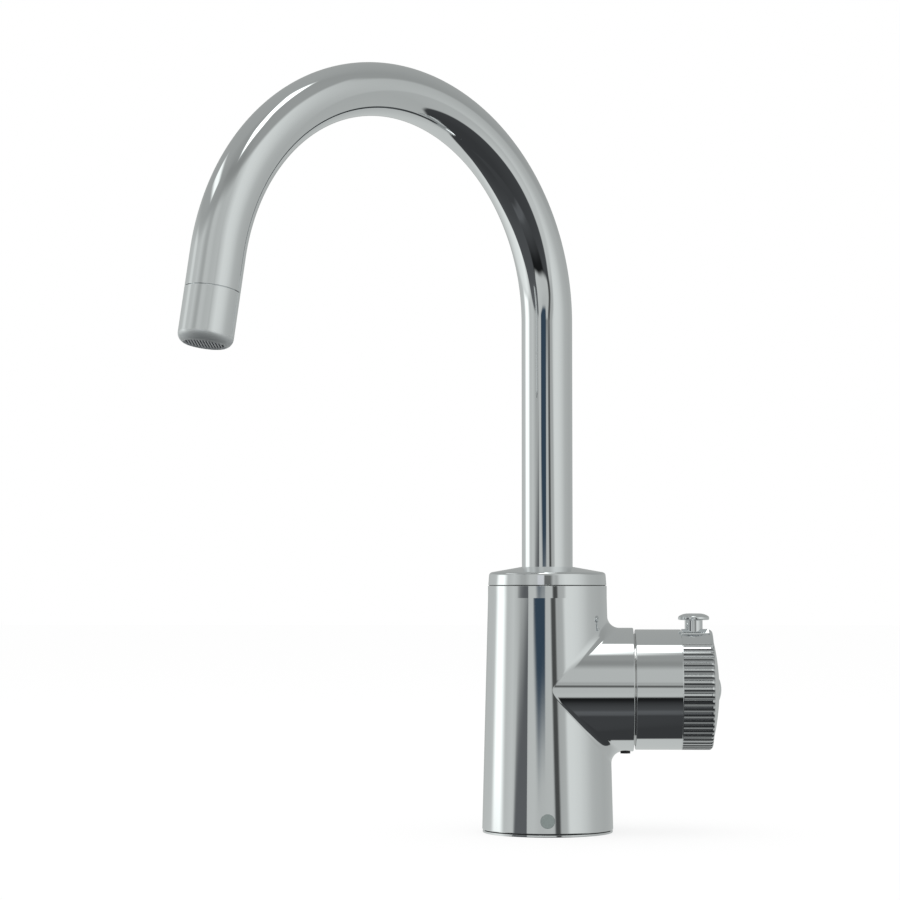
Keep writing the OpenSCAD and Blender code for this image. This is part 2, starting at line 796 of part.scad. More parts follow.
module lock_button() {
    r = head_round;
    low = head_foot_round;
    reach = head_r - r - head_flat_r;
    crown_r = (pow(reach, 2) + pow(crown_drop, 2) - pow(r, 2)) / (2 * (crown_drop - r));
    rim_a = acos(reach / (crown_r - r));
    color(chrome) on_button_axis() difference() {
        union() {
            translate([0, 0, head_z]) rotate_extrude() polygon(concat(
                [[0, 0], [head_r - low, 0]], arc(head_r - low, low, low, -90, 0, 4),
                arc(head_r - r, head_h - crown_drop, r, 0, rim_a, 5),
                arc(head_flat_r, head_h - crown_r, crown_r, rim_a, 90, 6), [[0, head_h]]));
            translate([0, 0, pin_flange_z + pin_flange_t])
                cylinder(r = stem_r, h = head_z - pin_flange_z - pin_flange_t + 0.2);
        }
        cylinder(r = pin_thread_r + fit, h = bush_end + 4);
    }
}

// Screws into the stem; its collar keeps the button in the guide
module lock_pin() {
    color(steel) on_button_axis() {
        translate([0, 0, pin_tip]) cylinder(r = pin_r, h = pin_flange_z - pin_tip + 0.2);
        translate([0, 0, pin_flange_z]) cylinder(r = pin_flange_r, h = pin_flange_t);
        translate([0, 0, pin_flange_z + pin_flange_t - 0.2])
            cylinder(r = pin_thread_r, h = bush_end + 3.8 - pin_flange_z - pin_flange_t);
    }
}

// Compression spring: a round wire swept along a helix, ends cut by its length
module lock_spring() {
    steps = 20;
    sides = 6;
    n = ceil(spring_turns * steps);
    lo = spring_seat + spring_wire / 2 + fit;
    hi = pin_flange_z - spring_wire / 2 - fit;
    rise = (hi - lo) / n;
    points = [for (k = [0:n]) let (a = 360 * k / steps) for (i = [0:sides - 1])
        let (b = 360 * i / sides, rr = spring_r + spring_wire / 2 * cos(b))
        [rr * cos(a), rr * sin(a), lo + rise * k + spring_wire / 2 * sin(b)]];
    faces = concat([[for (i = [sides - 1:-1:0]) i]],
        [for (k = [0:n - 1]) for (i = [0:sides - 1])
            let (a = k * sides + i, b = k * sides + (i + 1) % sides)
            each [[a, b + sides, a + sides], [a, b, b + sides]]],
        [[for (i = [0:sides - 1]) n * sides + i]]);
    color(steel) on_button_axis() polyhedron(points = points, faces = faces, convexity = 8);
}

// ---- top of the pillar ----

module spout_socket() {
    color(brass) difference() {
        translate([0, 0, socket_z]) cylinder(r = bore_r - fit, h = socket_top - socket_z);
        translate([0, 0, socket_z - eps]) cylinder(r = feed_r + fit, h = socket_floor + 2 * eps);
        translate([0, 0, socket_z + socket_floor]) cylinder(r = plug_r + run, h = body_h);
        translate([0, 0, thrust_z]) cylinder(r = bush_r + fit, h = body_h);
    }
}

module swivel_bush() {
    color(white_plastic) difference() {
        union() {
            translate([0, 0, bush_z]) cylinder(r = bush_r, h = cap_z - bush_z - fit);
            translate([0, 0, socket_top + fit]) cylinder(r = bush_shoulder_r, h = 2);
        }
        cylinder(r = straight_r + run, h = body_h + cap_side_h);
    }
}

module retaining_cap() {
    r = cap_round;
    hole = straight_r + run + 0.02;
    side_r = cap_r - cap_draft;
    lean = atan2(cap_draft, cap_side_h - r);
    slope = atan2(cap_rise, side_r - hole);
    color(chrome) difference() {
        union() {
            translate([0, 0, cap_z]) rotate_extrude() polygon(concat(
                [[hole, 0], [cap_r - seam_edge, 0], [cap_r, seam_edge]],
                arc(side_r - r, cap_side_h - r, r, lean, 90 - slope, 8),
                [[hole, cap_side_h + cap_rise]]));
            translate([0, 0, cap_z - cap_seam - skirt_len + 0.1])
                tube(skirt_r, skirt_r - skirt_wall, skirt_len + cap_seam + 0.5);
        }
        cylinder(r = hole, h = arch_z);
    }
}

// ---- spout ----

module spout_tube() {
    color(chrome) at_spout() along_spout(tube_r, tube_bore_r, tube_z, tail_len);
}

// Turned foot: sealed plug, thrust flange and the spigot in the tube
foot_port_r = 1.1;
foot_port_at = inner_r + 2;
foot_bore_r = tube_bore_r - 2.2;

function foot_ring_z(i) = plug_z + 1.9 + i * (thrust_z - plug_z - 3.6);

module spout_foot() {
    color(brass) difference() {
        union() {
            translate([0, 0, plug_z]) cylinder(r = plug_r, h = tube_z - plug_z);
            translate([0, 0, foot_flange_z]) cylinder(r = foot_flange_r, h = foot_flange_t);
            translate([0, 0, tube_z]) cylinder(r = straight_bore_r - fit, h = foot_spigot);
        }
        for (i = [0, 1]) translate([0, 0, foot_ring_z(i) - o_ring_r])
            tube(plug_r + eps, plug_r - 2 * o_ring_r - fit, 2 * o_ring_r);
        translate([0, 0, thrust_z]) cylinder(r = foot_bore_r, h = arch_z);
        translate([0, 0, plug_z - eps]) cylinder(r = inner_r + fit, h = arch_z);
        for (a = [0:60:300]) rotate([0, 0, a]) translate([foot_port_at, 0, plug_z - eps])
            cylinder(r = foot_port_r, h = thrust_z - plug_z + 2 * eps);
    }
}

module foot_o_rings() {
    color(rubber) for (i = [0, 1]) translate([0, 0, foot_ring_z(i)])
        o_ring(plug_r - 2 * o_ring_r + 0.02, o_ring_r - 0.02);
}

inner_tail = tail_len + nozzle_len * 0.5;

module inner_spout_tube() {
    color(steel) at_spout() along_spout(inner_r, inner_bore_r, plug_z + 0.5, inner_tail);
}

// Star that keeps the inner tube in the middle of the bore
spacer_len = 4;
spacer_arms = 6;
spacer_arm_w = 1.8;

module star_spacer() {
    intersection() {
        tube(straight_bore_r - fit, inner_r + fit, spacer_len);
        union() {
            tube(inner_r + 1.1, inner_r - 1, spacer_len);
            for (k = [0:spacer_arms - 1]) rotate([0, 0, k * 360 / spacer_arms])
                translate([inner_r, -spacer_arm_w / 2, 0]) cube([tube_r, spacer_arm_w, spacer_len]);
        }
    }
}

module tube_spacers() {
    z0 = tube_z + foot_spigot;
    color(white_plastic) {
        for (i = [1:riser_spacers]) translate([0, 0, z0 + (arch_z - spacer_len - z0) * i / riser_spacers])
            star_spacer();
        at_spout() at_arch_end() translate([0, 0, tail_len - sleeve_spigot - spacer_len - 0.5])
            star_spacer();
    }
}

module at_nozzle() {
    at_spout() at_arch_end() translate([0, 0, tail_len + joint_line]) children();
}

nozzle_h = nozzle_len - joint_line;
straightener_gap = 0.4;
ledge = 1.2;
seal_at = -sleeve_spigot + 1.2;
seal_gap = 1.7;

// Sleeve with a spigot up into the tube and a lip that rounds in to the outlet
module nozzle_sleeve() {
    r = lip_round;
    lip_a = asin((lip_round - lip_wall) / r);
    color(chrome) at_nozzle() difference() {
        rotate_extrude() polygon(concat(
            [[outlet_r - ledge, -sleeve_spigot], [straight_bore_r - fit, -sleeve_spigot],
            [straight_bore_r - fit, 0], [tube_r - 0.1, 0], [tube_r, 0.1]],
            arc(tube_r - r, nozzle_h - lip_drop, r, 0, 90 - lip_a, 12),
            [[outlet_r, nozzle_h - slat_h - straightener_gap],
            [outlet_r - ledge, nozzle_h - slat_h - straightener_gap]]));
        translate([0, 0, seal_at]) tube(tube_bore_r + 0.5, straight_bore_r - ledge, seal_gap);
    }
}

module nozzle_seal() {
    color(rubber) at_nozzle() translate([0, 0, seal_at + seal_gap / 2])
        o_ring(straight_bore_r - ledge + 0.02, ledge / 2 - 0.03);
}

// Ring with parallel slats, set a little inside the lip
module flow_straightener() {
    inside = straightener_r - straightener_wall;
    pitch = 2 * inside / (slat_count + 1);
    color(plastic) at_nozzle() translate([0, 0, nozzle_h - slat_h - straightener_gap + fit])
        rotate([0, 0, slat_angle]) {
            tube(straightener_r, inside, slat_h - fit);
            intersection() {
                cylinder(r = inside + 0.2, h = slat_h - fit);
                for (k = [1:slat_count])
                    translate([-outlet_r, -inside + k * pitch - slat_w / 2, 0])
                        cube([2 * outlet_r, slat_w, slat_h - fit]);
            }
        }
}

body_shell();
base_ring();
base_gasket();
base_insert();
worktop_seal();
boiling_feed_pipe();
filtered_feed_pipe();
outlet_pipe();
indicator_lens();
indicator_led();
grub_screw();
valve_carrier();
cartridge_base();
cartridge_housing();
fixed_disc();
port_seals();
cartridge_nut();
stop_sleeve();
spout_socket();
swivel_bush();
retaining_cap();
moving_disc();
spindle();
spindle_o_rings();
knob_hub();
knob_sleeve();
grip_ring();
button_guide();
end_cap();
centre_cap();
handle_screw();
lock_button();
lock_pin();
lock_spring();
spout_tube();
spout_foot();
foot_o_rings();
inner_spout_tube();
tube_spacers();
nozzle_sleeve();
flow_straightener();
nozzle_seal();
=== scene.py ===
"""Looks of a boiling water tap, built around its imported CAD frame.

Lengths are written in millimetres and become metres when a mesh is made.
+Z is up, the knob's axis is +X and the front is -Y.
"""
import json
import math

import bpy
import numpy as np
from mathutils import Matrix, Vector


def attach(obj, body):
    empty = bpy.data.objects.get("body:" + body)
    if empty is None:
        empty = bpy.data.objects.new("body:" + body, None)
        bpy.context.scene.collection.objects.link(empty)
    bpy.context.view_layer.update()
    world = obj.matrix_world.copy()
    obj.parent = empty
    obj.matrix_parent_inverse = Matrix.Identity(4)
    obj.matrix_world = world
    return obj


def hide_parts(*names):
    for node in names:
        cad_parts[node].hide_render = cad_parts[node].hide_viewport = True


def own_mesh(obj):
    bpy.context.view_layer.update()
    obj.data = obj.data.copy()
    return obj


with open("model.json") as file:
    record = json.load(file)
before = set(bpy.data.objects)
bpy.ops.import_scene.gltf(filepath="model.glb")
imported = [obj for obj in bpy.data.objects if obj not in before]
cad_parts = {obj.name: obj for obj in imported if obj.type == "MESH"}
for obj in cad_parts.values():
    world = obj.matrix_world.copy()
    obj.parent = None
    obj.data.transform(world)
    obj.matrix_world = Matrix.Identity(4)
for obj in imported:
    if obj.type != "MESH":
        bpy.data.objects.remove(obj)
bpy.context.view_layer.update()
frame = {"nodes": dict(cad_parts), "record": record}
MM = 0.001
pi = math.pi

# ---------------------------------------------------------------- sizes

# pillar: a cone with a rounded foot, and a straight collar from COLLAR_Z to its top
BASE_R, TOP_R, BODY_H, COLLAR_Z = 28.28, 25.56, 106.1, 100.9
BORE_R, SHELL_Z, FOOT_R = 22.06, 1.3, 0.4
CONE = math.atan((BASE_R - TOP_R) / BODY_H)
CAP_Z, CAP_R, CAP_SEAT_R, CAP_SEAT_DEPTH = 106.4, 25.56, 23.11, 6
LENS_HOLE_R, LENS_Z = 3.05, 6.8
# stub for the knob, and the ball that rolls in the corner between stub and pillar
BRANCH_Z, BRANCH_R, BRANCH_LEN, BLEND_R = 61.35, 26.6, 37.0, 5.1
STUB_BORE_R, FLANGE_SEAT_R, FLANGE_SEAT_DEPTH = 21.5, 24.1, 0.85
GRUB_HOLE_R, GRUB_X = 2.19, 33.55
# knob: sleeve, then the ribbed ring, whose pocket has the guide and the button in it
SLEEVE_X, KNOB_R, KNOB_BORE_R = 37.8, 25.9, 23.0
RING_X, KNOB_END, RING_LIP = 57.5, 71.2, 1.6
BUTTON_X, POCKET_Z, GUIDE_TOP = 63.2, 23.8, 26.05
HEAD_Z, HEAD_H, HEAD_R, STEM_R = 30.0, 2.8, 6.7, 3.85
STEM_HOLE_R, BUSH_R, BUSH_HOLE_R, BUSH_LOW = STEM_R + 0.06, 5.2, 5.25, 17.6
# spout: upright tube, arch of SWEEP degrees and a straight tail before the nozzle
TUBE_R, TUBE_BORE_R, TUBE_Z = 11.0, 9.8, 97.4
ARCH_R, ARCH_Z, SWEEP, TAIL = 90.9, 220.4, 170.0, 14.8
SPOUT_TURN = 224.5
NOZZLE_LEN, NOZZLE_GAP = 22.05, 0.25
LIP_R, LIP_WALL = 4.0, 2.55


def pillar_r(z):
    """Radius of the pillar's cone at a height."""
    return BASE_R + (TOP_R - BASE_R) * z / BODY_H


def unit(v):
    v = np.asarray(v, float)
    return v / np.linalg.norm(v, axis=-1, keepdims=True)


def quarter(count):
    """Angles from 0 to a right angle, in so many steps."""
    return [i / count * pi / 2 for i in range(count + 1)]


# ---------------------------------------------------------------- mesh kit

class Skin:
    """Faces that carry their own corner normals, so that polished metal reflects without facets."""

    def __init__(self):
        self.co, self.no, self.faces, self.count = [], [], [], 0

    def grid(self, points, normals, wrap=False):
        points, normals = np.asarray(points, float), np.asarray(normals, float)
        rows, cols = points.shape[:2]
        start = self.count
        self.co.append(points.reshape(-1, 3))
        self.no.append(np.broadcast_to(normals, points.shape).reshape(-1, 3))
        self.count += rows * cols
        last = cols if wrap else cols - 1
        for i in range(rows - 1):
            for j in range(last):
                k = (j + 1) % cols
                self.faces.append([start + i * cols + j, start + i * cols + k,
                                   start + (i + 1) * cols + k, start + (i + 1) * cols + j])

    def cap(self, ring, normal):
        ring = np.asarray(ring, float)
        start = self.count
        self.co.append(ring)
        self.no.append(np.broadcast_to(np.asarray(normal, float), ring.shape))
        self.count += len(ring)
        self.faces.append(list(range(start, start + len(ring))))

    def place(self, matrix):
        m = np.array(matrix)
        co = np.vstack(self.co) @ m[:3, :3].T + m[:3, 3]
        no = np.vstack(self.no) @ m[:3, :3].T
        self.co, self.no = [co], [no]
        return self

    def mesh(self, name, inward=False):
        """One mesh: corners in the same place are joined, faces that vanish are dropped.
        Faces turn the way that their own normals point, or the other way on a cutter."""
        co, no = np.vstack(self.co), np.vstack(self.no)
        key = np.round(co, 4)
        _, first, same = np.unique(key, axis=0, return_index=True, return_inverse=True)
        same = same.reshape(-1)
        verts = co[first] * MM
        sizes, index, corner = [], [], []
        for face in self.faces:
            ids, src = [], []
            for v in face:
                w = int(same[v])
                if w not in ids:
                    ids.append(w)
                    src.append(v)
            if len(ids) > 2:
                third = len(src) // 3
                a, b, c = (co[src[i]] for i in (0, max(1, third), max(2, 2 * third)))
                if (np.cross(b - a, c - a) @ no[src].sum(axis=0) < 0) != inward:
                    ids, src = ids[::-1], src[::-1]
                sizes.append(len(ids))
                index += ids
                corner += src
        mesh = bpy.data.meshes.new(name)
        mesh.vertices.add(len(verts))
        mesh.vertices.foreach_set("co", verts.reshape(-1))
        mesh.loops.add(len(index))
        mesh.loops.foreach_set("vertex_index", index)
        mesh.polygons.add(len(sizes))
        starts = np.concatenate([[0], np.cumsum(sizes)[:-1]]).astype(int)
        mesh.polygons.foreach_set("loop_start", starts)
        mesh.polygons.foreach_set("use_smooth", [True] * len(sizes))
        mesh.update(calc_edges=True)
        mesh.validate()
        attribute = mesh.attributes.new("own_normal", "FLOAT_VECTOR", "CORNER")
        attribute.data.foreach_set("vector", unit(no[corner]).reshape(-1))
        return mesh


def use_own_normals(mesh):
    attribute = mesh.attributes["own_normal"]
    values = np.zeros(len(mesh.loops) * 3)
    attribute.data.foreach_get("vector", values)
    values = values.reshape(-1, 3)
    length = np.linalg.norm(values, axis=1)
    values[length > 0] /= length[length > 0, None]
    mesh.attributes.remove(attribute)
    mesh.normals_split_custom_set([tuple(v) for v in values])


def add_object(name, mesh):
    obj = bpy.data.objects.new(name, mesh)
    bpy.context.scene.collection.objects.link(obj)
    return obj


def cut(obj, cutters):
    """Takes each cutter away from obj; corner normals go along with the faces."""
    for number, skin in enumerate(cutters):
        tool = add_object(f"cutter_{number}", skin.mesh("cutter", inward=True))
        modifier = obj.modifiers.new("cut", "BOOLEAN")
        modifier.operation = "DIFFERENCE"
        modifier.solver = "EXACT"
        modifier.object = tool
        depsgraph = bpy.context.evaluated_depsgraph_get()
        mesh = bpy.data.meshes.new_from_object(obj.evaluated_get(depsgraph))
        obj.modifiers.clear()
        old = obj.data
        mesh.name = old.name
        obj.data = mesh
        bpy.data.meshes.remove(old)
        tool_mesh = tool.data
        bpy.data.objects.remove(tool)
        bpy.data.meshes.remove(tool_mesh)


def profile(points, radii=None, step=12.0):
    """Polyline of (r, h) with rounded corners, as pieces of (point, normal) pairs.
    Each piece is smooth inside; the normal points to the right of the way of travel."""
    points = [np.array(p, float) for p in points]
    radii = radii or [0] * len(points)
    pieces, ends = [], []
    count = len(points)
    for i, p in enumerate(points):
        r = radii[i]
        if r <= 0 or i in (0, count - 1):
            ends.append((p, p, None))
            continue
        a, b = unit(points[i - 1] - p), unit(points[i + 1] - p)
        half = math.acos(max(-1, min(1, float(a @ b)))) / 2
        reach = r / math.tan(half)
        centre = p + unit(a + b) * r / math.sin(half)
        ends.append((p + a * reach, p + b * reach, centre))
    for i in range(count - 1):
        start, end = ends[i][1], ends[i + 1][0]
        if np.linalg.norm(end - start) > 1e-6:
            d = unit(end - start)
            n = np.array([d[1], -d[0]])
            pieces.append(([start, end], [n, n]))
        centre = ends[i + 1][2]
        if centre is not None:
            p, q = ends[i + 1][0] - centre, ends[i + 1][1] - centre
            a0, a1 = math.atan2(p[1], p[0]), math.atan2(q[1], q[0])
            turn = (a1 - a0 + pi) % (2 * pi) - pi
            r = np.linalg.norm(p)
            n = max(3, int(abs(math.degrees(turn)) / step) + 1)
            angles = [a0 + turn * k / n for k in range(n + 1)]
            ring = [np.array([math.cos(t), math.sin(t)]) for t in angles]
            sign = 1.0
            d = unit(points[i + 1] - points[i])
            if ring[0] @ np.array([d[1], -d[0]]) < 0:
                sign = -1.0
            pieces.append(([centre + u * r for u in ring], [u * sign for u in ring]))
    return pieces


def lathe(pieces, sides):
    """Turns a profile about the local Z axis."""
    skin = Skin()
    t = np.arange(sides) * 2 * pi / sides
    c, s = np.cos(t), np.sin(t)
    for pts, nrm in pieces:
        rows = [np.stack([p[0] * c, p[0] * s, np.full(sides, p[1])], 1) for p in pts]
        norms = [np.stack([n[0] * c, n[0] * s, np.full(sides, n[1])], 1) for n in nrm]
        skin.grid(rows, norms, wrap=True)
    return skin


def rod(radius, z0, z1, sides=96):
    """Cutter: closed cylinder about Z, with own normals that point inwards."""
    skin = Skin()
    t = np.arange(sides) * 2 * pi / sides
    ring = np.stack([np.cos(t), np.sin(t), np.zeros(sides)], 1)
    low, high = ring * radius + [0, 0, z0], ring * radius + [0, 0, z1]
    skin.grid([low, high], [-ring, -ring], wrap=True)
    skin.cap(low, [0, 0, 1])
    skin.cap(high, [0, 0, -1])
    return skin


def block(lo, hi):
    """Cutter: box with own normals that point inwards."""
    lo, hi = np.array(lo, float), np.array(hi, float)
    skin = Skin()
    for axis in range(3):
        u, v = (axis + 1) % 3, (axis + 2) % 3
        for side, value in ((-1, lo[axis]), (1, hi[axis])):
            ring = []
            for du, dv in ((0, 0), (1, 0), (1, 1), (0, 1)):
                p = np.zeros(3)
                p[axis] = value
                p[u] = (lo, hi)[du][u]
                p[v] = (lo, hi)[dv][v]
                ring.append(p)
            normal = np.zeros(3)
            normal[axis] = -side
            skin.cap(ring, normal)
    return skin


def along_x(x=0.0, z=BRANCH_Z):
    """Local +Z runs along +X, at height z."""
    return Matrix.Translation((x, 0, z)) @ Matrix.Rotation(pi / 2, 4, "Y")


def shift(x, y, z):
    return Matrix.Translation((x, y, z))


AT_SPOUT = Matrix.Rotation(math.radians(SPOUT_TURN), 4, "Z")
AT_ARCH_END = (AT_SPOUT @ shift(ARCH_R, 0, ARCH_Z)
               @ Matrix.Rotation(math.radians(SWEEP), 4, "Y") @ shift(-ARCH_R, 0, 0))


# ---------------------------------------------------------------- body

def blend_ball(a):
    """Centre of the ball that rolls round the stub, against the stub and the cone."""
    y = (BRANCH_R + BLEND_R) * math.sin(a)
    z = BRANCH_Z + (BRANCH_R + BLEND_R) * math.cos(a)
    reach = pillar_r(z) + BLEND_R / math.cos(CONE)
    return np.array([math.sqrt(reach * reach - y * y), y, z])


def cone_normal(theta):
    return np.array([math.cos(CONE) * math.cos(theta), math.cos(CONE) * math.sin(theta), math.sin(CONE)])


def on_cone(theta, z):
    r = pillar_r(z)
    return np.array([r * math.cos(theta), r * math.sin(theta), z])


def body_skin():
    """Pillar, stub and the rolling blend between them."""
    skin = Skin()
    # a loop of columns and heights round the stub frames the blend
    circle, side = 144, 44
    step = math.radians(360 / circle)
    z_low, z_mid, z_high, rows = 22.0, 12, 100.0, 44
    level_r = 26.7  # the pillar's radius beside the stub
    edge, seam_edge = 0.35, 0.12
    heights = [z_high + (z_low - z_high) * k / rows for k in range(rows + 1)]
    right = [step * j for j in range(-side, side + 1)]
    loop = [(t, z_high) for t in right]
    loop += [(side * step, z) for z in heights[1:]]
    loop += [(t, z_low) for t in right[::-1][1:]]
    loop += [(-side * step, z) for z in heights[::-1][1:-1]]
    turn = [math.atan2(t * level_r, z - BRANCH_Z) for t, z in loop]
    # patch of the cone between the blend and the loop
    near, rings, norms = [], [], []
    for a in turn:
        c = blend_ball(a)
        theta = math.atan2(c[1], c[0])
        touch = c - BLEND_R * cone_normal(theta)
        near.append((theta, touch[2]))
    count, ease = 12, 1.15
    for i in range(count + 1):
        f = (i / count) ** ease
        ring, norm = [], []
        for (t0, z0), (t1, z1) in zip(near, loop):
            t, z = t0 + (t1 - t0) * f, z0 + (z1 - z0) * f
            ring.append(on_cone(t, z))
            norm.append(cone_normal(t))
        rings.append(ring)
        norms.append(norm)
    skin.grid(rings, norms, wrap=True)
    # blend
    rings, norms = [], []
    count = 14
    for i in range(count + 1):
        ring, norm = [], []
        for a in turn:
            c = blend_ball(a)
            theta = math.atan2(c[1], c[0])
            s = np.array([0, -math.sin(a), -math.cos(a)])
            p = -cone_normal(theta)
            f = i / count
            span = math.acos(float(np.clip(s @ p, -1, 1)))
            u = (s * math.sin((1 - f) * span) + p * math.sin(f * span)) / math.sin(span)
            ring.append(c + BLEND_R * u)
            norm.append(-u)
        rings.append(ring)
        norms.append(norm)
    skin.grid(rings, norms, wrap=True)
    # stub, with a rounded outer edge and its end face
    radial = [np.array([0, math.sin(a), math.cos(a)]) for a in turn]
    axis = np.array([1.0, 0, 0])
    rings, norms = [], []
    x_end, count = BRANCH_LEN - edge, 6
    for i in range(count + 1):
        f = i / count
        rings.append([r * BRANCH_R + axis * (blend_ball(a)[0] * (1 - f) + x_end * f) + [0, 0, BRANCH_Z]
                      for r, a in zip(radial, turn)])
        norms.append(radial)
    skin.grid(rings, norms, wrap=True)
    rings, norms = [], []
    for b in quarter(5):
        rings.append([r * (BRANCH_R - edge + edge * math.cos(b)) + axis * (x_end + edge * math.sin(b))
                      + [0, 0, BRANCH_Z] for r in radial])
        norms.append([r * math.cos(b) + axis * math.sin(b) for r in radial])
    skin.grid(rings, norms, wrap=True)
    skin.cap(rings[-1], axis)
    # back of the pillar, beside the loop
    back = [step * j for j in range(side, circle - side + 1)]
    grid = [[on_cone(t, z) for t in back] for z in heights]
    skin.grid(grid, [[cone_normal(t) for t in back] for _ in heights])
    # full rings above and below, the straight collar with its top edge, and the rounded foot
    full = [step * j for j in range(-side, circle - side)]
    cosines = np.array([[math.cos(t), math.sin(t), 0] for t in full])
    tilt = np.array([cone_normal(t) for t in full])

    def ring_at(z):
        return cosines * pillar_r(z) + [0, 0, z]

    z_top, z_foot = BODY_H - seam_edge, SHELL_Z + FOOT_R
    collar_r = pillar_r(COLLAR_Z)
    skin.grid([ring_at(COLLAR_Z), ring_at(z_high)], [tilt, tilt], wrap=True)
    skin.grid([cosines * collar_r + [0, 0, z] for z in (z_top, COLLAR_Z)], [cosines, cosines], wrap=True)
    skin.grid([ring_at(z_low), ring_at(z_mid), ring_at(z_foot)], [tilt] * 3, wrap=True)
    rings, norms = [], []
    for b in quarter(6):
        rings.append(cosines * (collar_r - seam_edge + seam_edge * math.cos(b))
                     + [0, 0, z_top + seam_edge * math.sin(b)])
        norms.append(unit(cosines * math.cos(b) + [0, 0, math.sin(b)]))
    skin.grid(rings, norms, wrap=True)
    skin.cap(rings[-1], [0, 0, 1])
    rings, norms = [], []
    for b in quarter(8):
        rings.append(cosines * (pillar_r(z_foot) - FOOT_R + FOOT_R * math.cos(b))
                     + [0, 0, z_foot - FOOT_R * math.sin(b)])
        norms.append(cosines * math.cos(b) - [0, 0, math.sin(b)])
    rings[0] = ring_at(z_foot)
    skin.grid(rings, norms, wrap=True)
    skin.cap(rings[-1], [0, 0, -1])
    return skin


def make_body():
    obj = add_object("pillar_and_stub", body_skin().mesh("pillar_and_stub"))
    top, end = BODY_H + 2, BRANCH_LEN + 2  # both past the metal
    cut(obj, [
        rod(BORE_R, -2, top, 144),
        rod(CAP_SEAT_R, BODY_H - CAP_SEAT_DEPTH, top, 144),
        rod(STUB_BORE_R, 0, end, 144).place(along_x()),
        rod(FLANGE_SEAT_R, BRANCH_LEN - FLANGE_SEAT_DEPTH, end, 144).place(along_x()),
        rod(LENS_HOLE_R, 0, 12, 64).place(shift(0, -20, LENS_Z) @ Matrix.Rotation(pi / 2, 4, "X")),
        rod(GRUB_HOLE_R, 0, 16, 48).place(shift(GRUB_X, 0, 32)),
    ])
    use_own_normals(obj.data)
    return obj


# ---------------------------------------------------------------- round pieces

def arc_piece(centre, r, a0, a1, count):
    """Convex arc from angle a0 to a1, as a piece of a profile."""
    rays = [np.array([math.cos(a0 + (a1 - a0) * i / count), math.sin(a0 + (a1 - a0) * i / count)])
            for i in range(count + 1)]
    return [np.array(centre) + r * u for u in rays], rays


def make_lathe(name, pieces, matrix=None, sides=192, cutters=()):
    skin = lathe(pieces, sides)
    if matrix is not None:
        skin.place(matrix)
    obj = add_object(name, skin.mesh(name))
    if cutters:
        cut(obj, cutters)
    use_own_normals(obj.data)
    return obj


def make_retaining_cap():
    """Cap with a leaning side, a low cone, a skirt and a collar in the joint line; skirt and collar are
    near-black, as rough thread and as painted shade.
    """
    hole, inner, skirt, collar = 11.03, 19.06, 23.06, 25.2
    low, seam, corner, top = -6.2, -0.28, (25.16, 5.38), 7.9
    points = [(inner, low), (skirt, low), (skirt, seam), (collar, seam), (collar, 0), (CAP_R, 0), corner,
              (hole, top), (hole, 0), (inner, 0), (inner, low)]
    rounds = [0, 0.2, 0, 0, 0, 0.12, 1.6, 0.1, 0, 0, 0]
    return make_lathe("top_cap", profile(points, rounds, 9), shift(0, 0, CAP_Z))


def make_base_ring():
    inner, r, height = 22.11, 28.03, 0.95
    points = [(inner, 0), (r, 0), (r, height), (inner, height), (inner, 0)]
    return make_lathe("foot_ring", profile(points, [0, 0.3, 0.1, 0, 0], 15))


def spout_skin():
    """Bent tube with its bore, closed at both ends."""
    skin = Skin()
    sides, steps, edge = 128, 170, 0.12
    t = np.arange(sides) * 2 * pi / sides
    c, s = np.cos(t), np.sin(t)

    def spokes(e):
        return np.outer(c, e) + np.outer(s, [0, 1.0, 0])

    def line(extra):
        """Places along the middle of the tube, each with its outward direction, and the end's own."""
        stations = [(np.array([0, 0, z]), np.array([-1.0, 0, 0])) for z in (TUBE_Z, 100, 150, 200)]
        for k in range(steps + 1):
            a = math.radians(SWEEP) * k / steps
            stations.append((np.array([ARCH_R - ARCH_R * math.cos(a), 0, ARCH_Z + ARCH_R * math.sin(a)]),
                             np.array([-math.cos(a), 0, math.sin(a)])))
        a = math.radians(SWEEP)
        d = np.array([math.sin(a), 0, math.cos(a)])
        last, e = stations[-1]
        stations.append((last + d * (TAIL * 0.5), e))
        stations.append((last + d * (TAIL - extra), e))
        return stations, d

    stations, d = line(edge)
    outer = [p + TUBE_R * spokes(e) for p, e in stations]
    skin.grid(outer, [spokes(e) for _, e in stations], wrap=True)
    # small rounded edge at the joint line
    place, e = stations[-1]
    n = spokes(e)
    edge_rows = [place + n * (TUBE_R - edge + edge * math.cos(b)) + d * edge * math.sin(b)
                 for b in quarter(3)]
    skin.grid(edge_rows, [n * math.cos(b) + d * math.sin(b) for b in quarter(3)], wrap=True)
    stations = line(0.0)[0]
    inner = [p + TUBE_BORE_R * spokes(e) for p, e in stations]
    skin.grid(inner, [-spokes(e) for _, e in stations], wrap=True)
    skin.grid([edge_rows[-1], inner[-1]], [np.broadcast_to(d, inner[-1].shape)] * 2, wrap=True)
    skin.grid([inner[0], outer[0]], [np.broadcast_to([0, 0, -1.0], inner[0].shape)] * 2, wrap=True)
    return skin.place(AT_SPOUT)


def make_spout():
    obj = add_object("spout_skin", spout_skin().mesh("spout_skin"))
    use_own_normals(obj.data)
    return obj


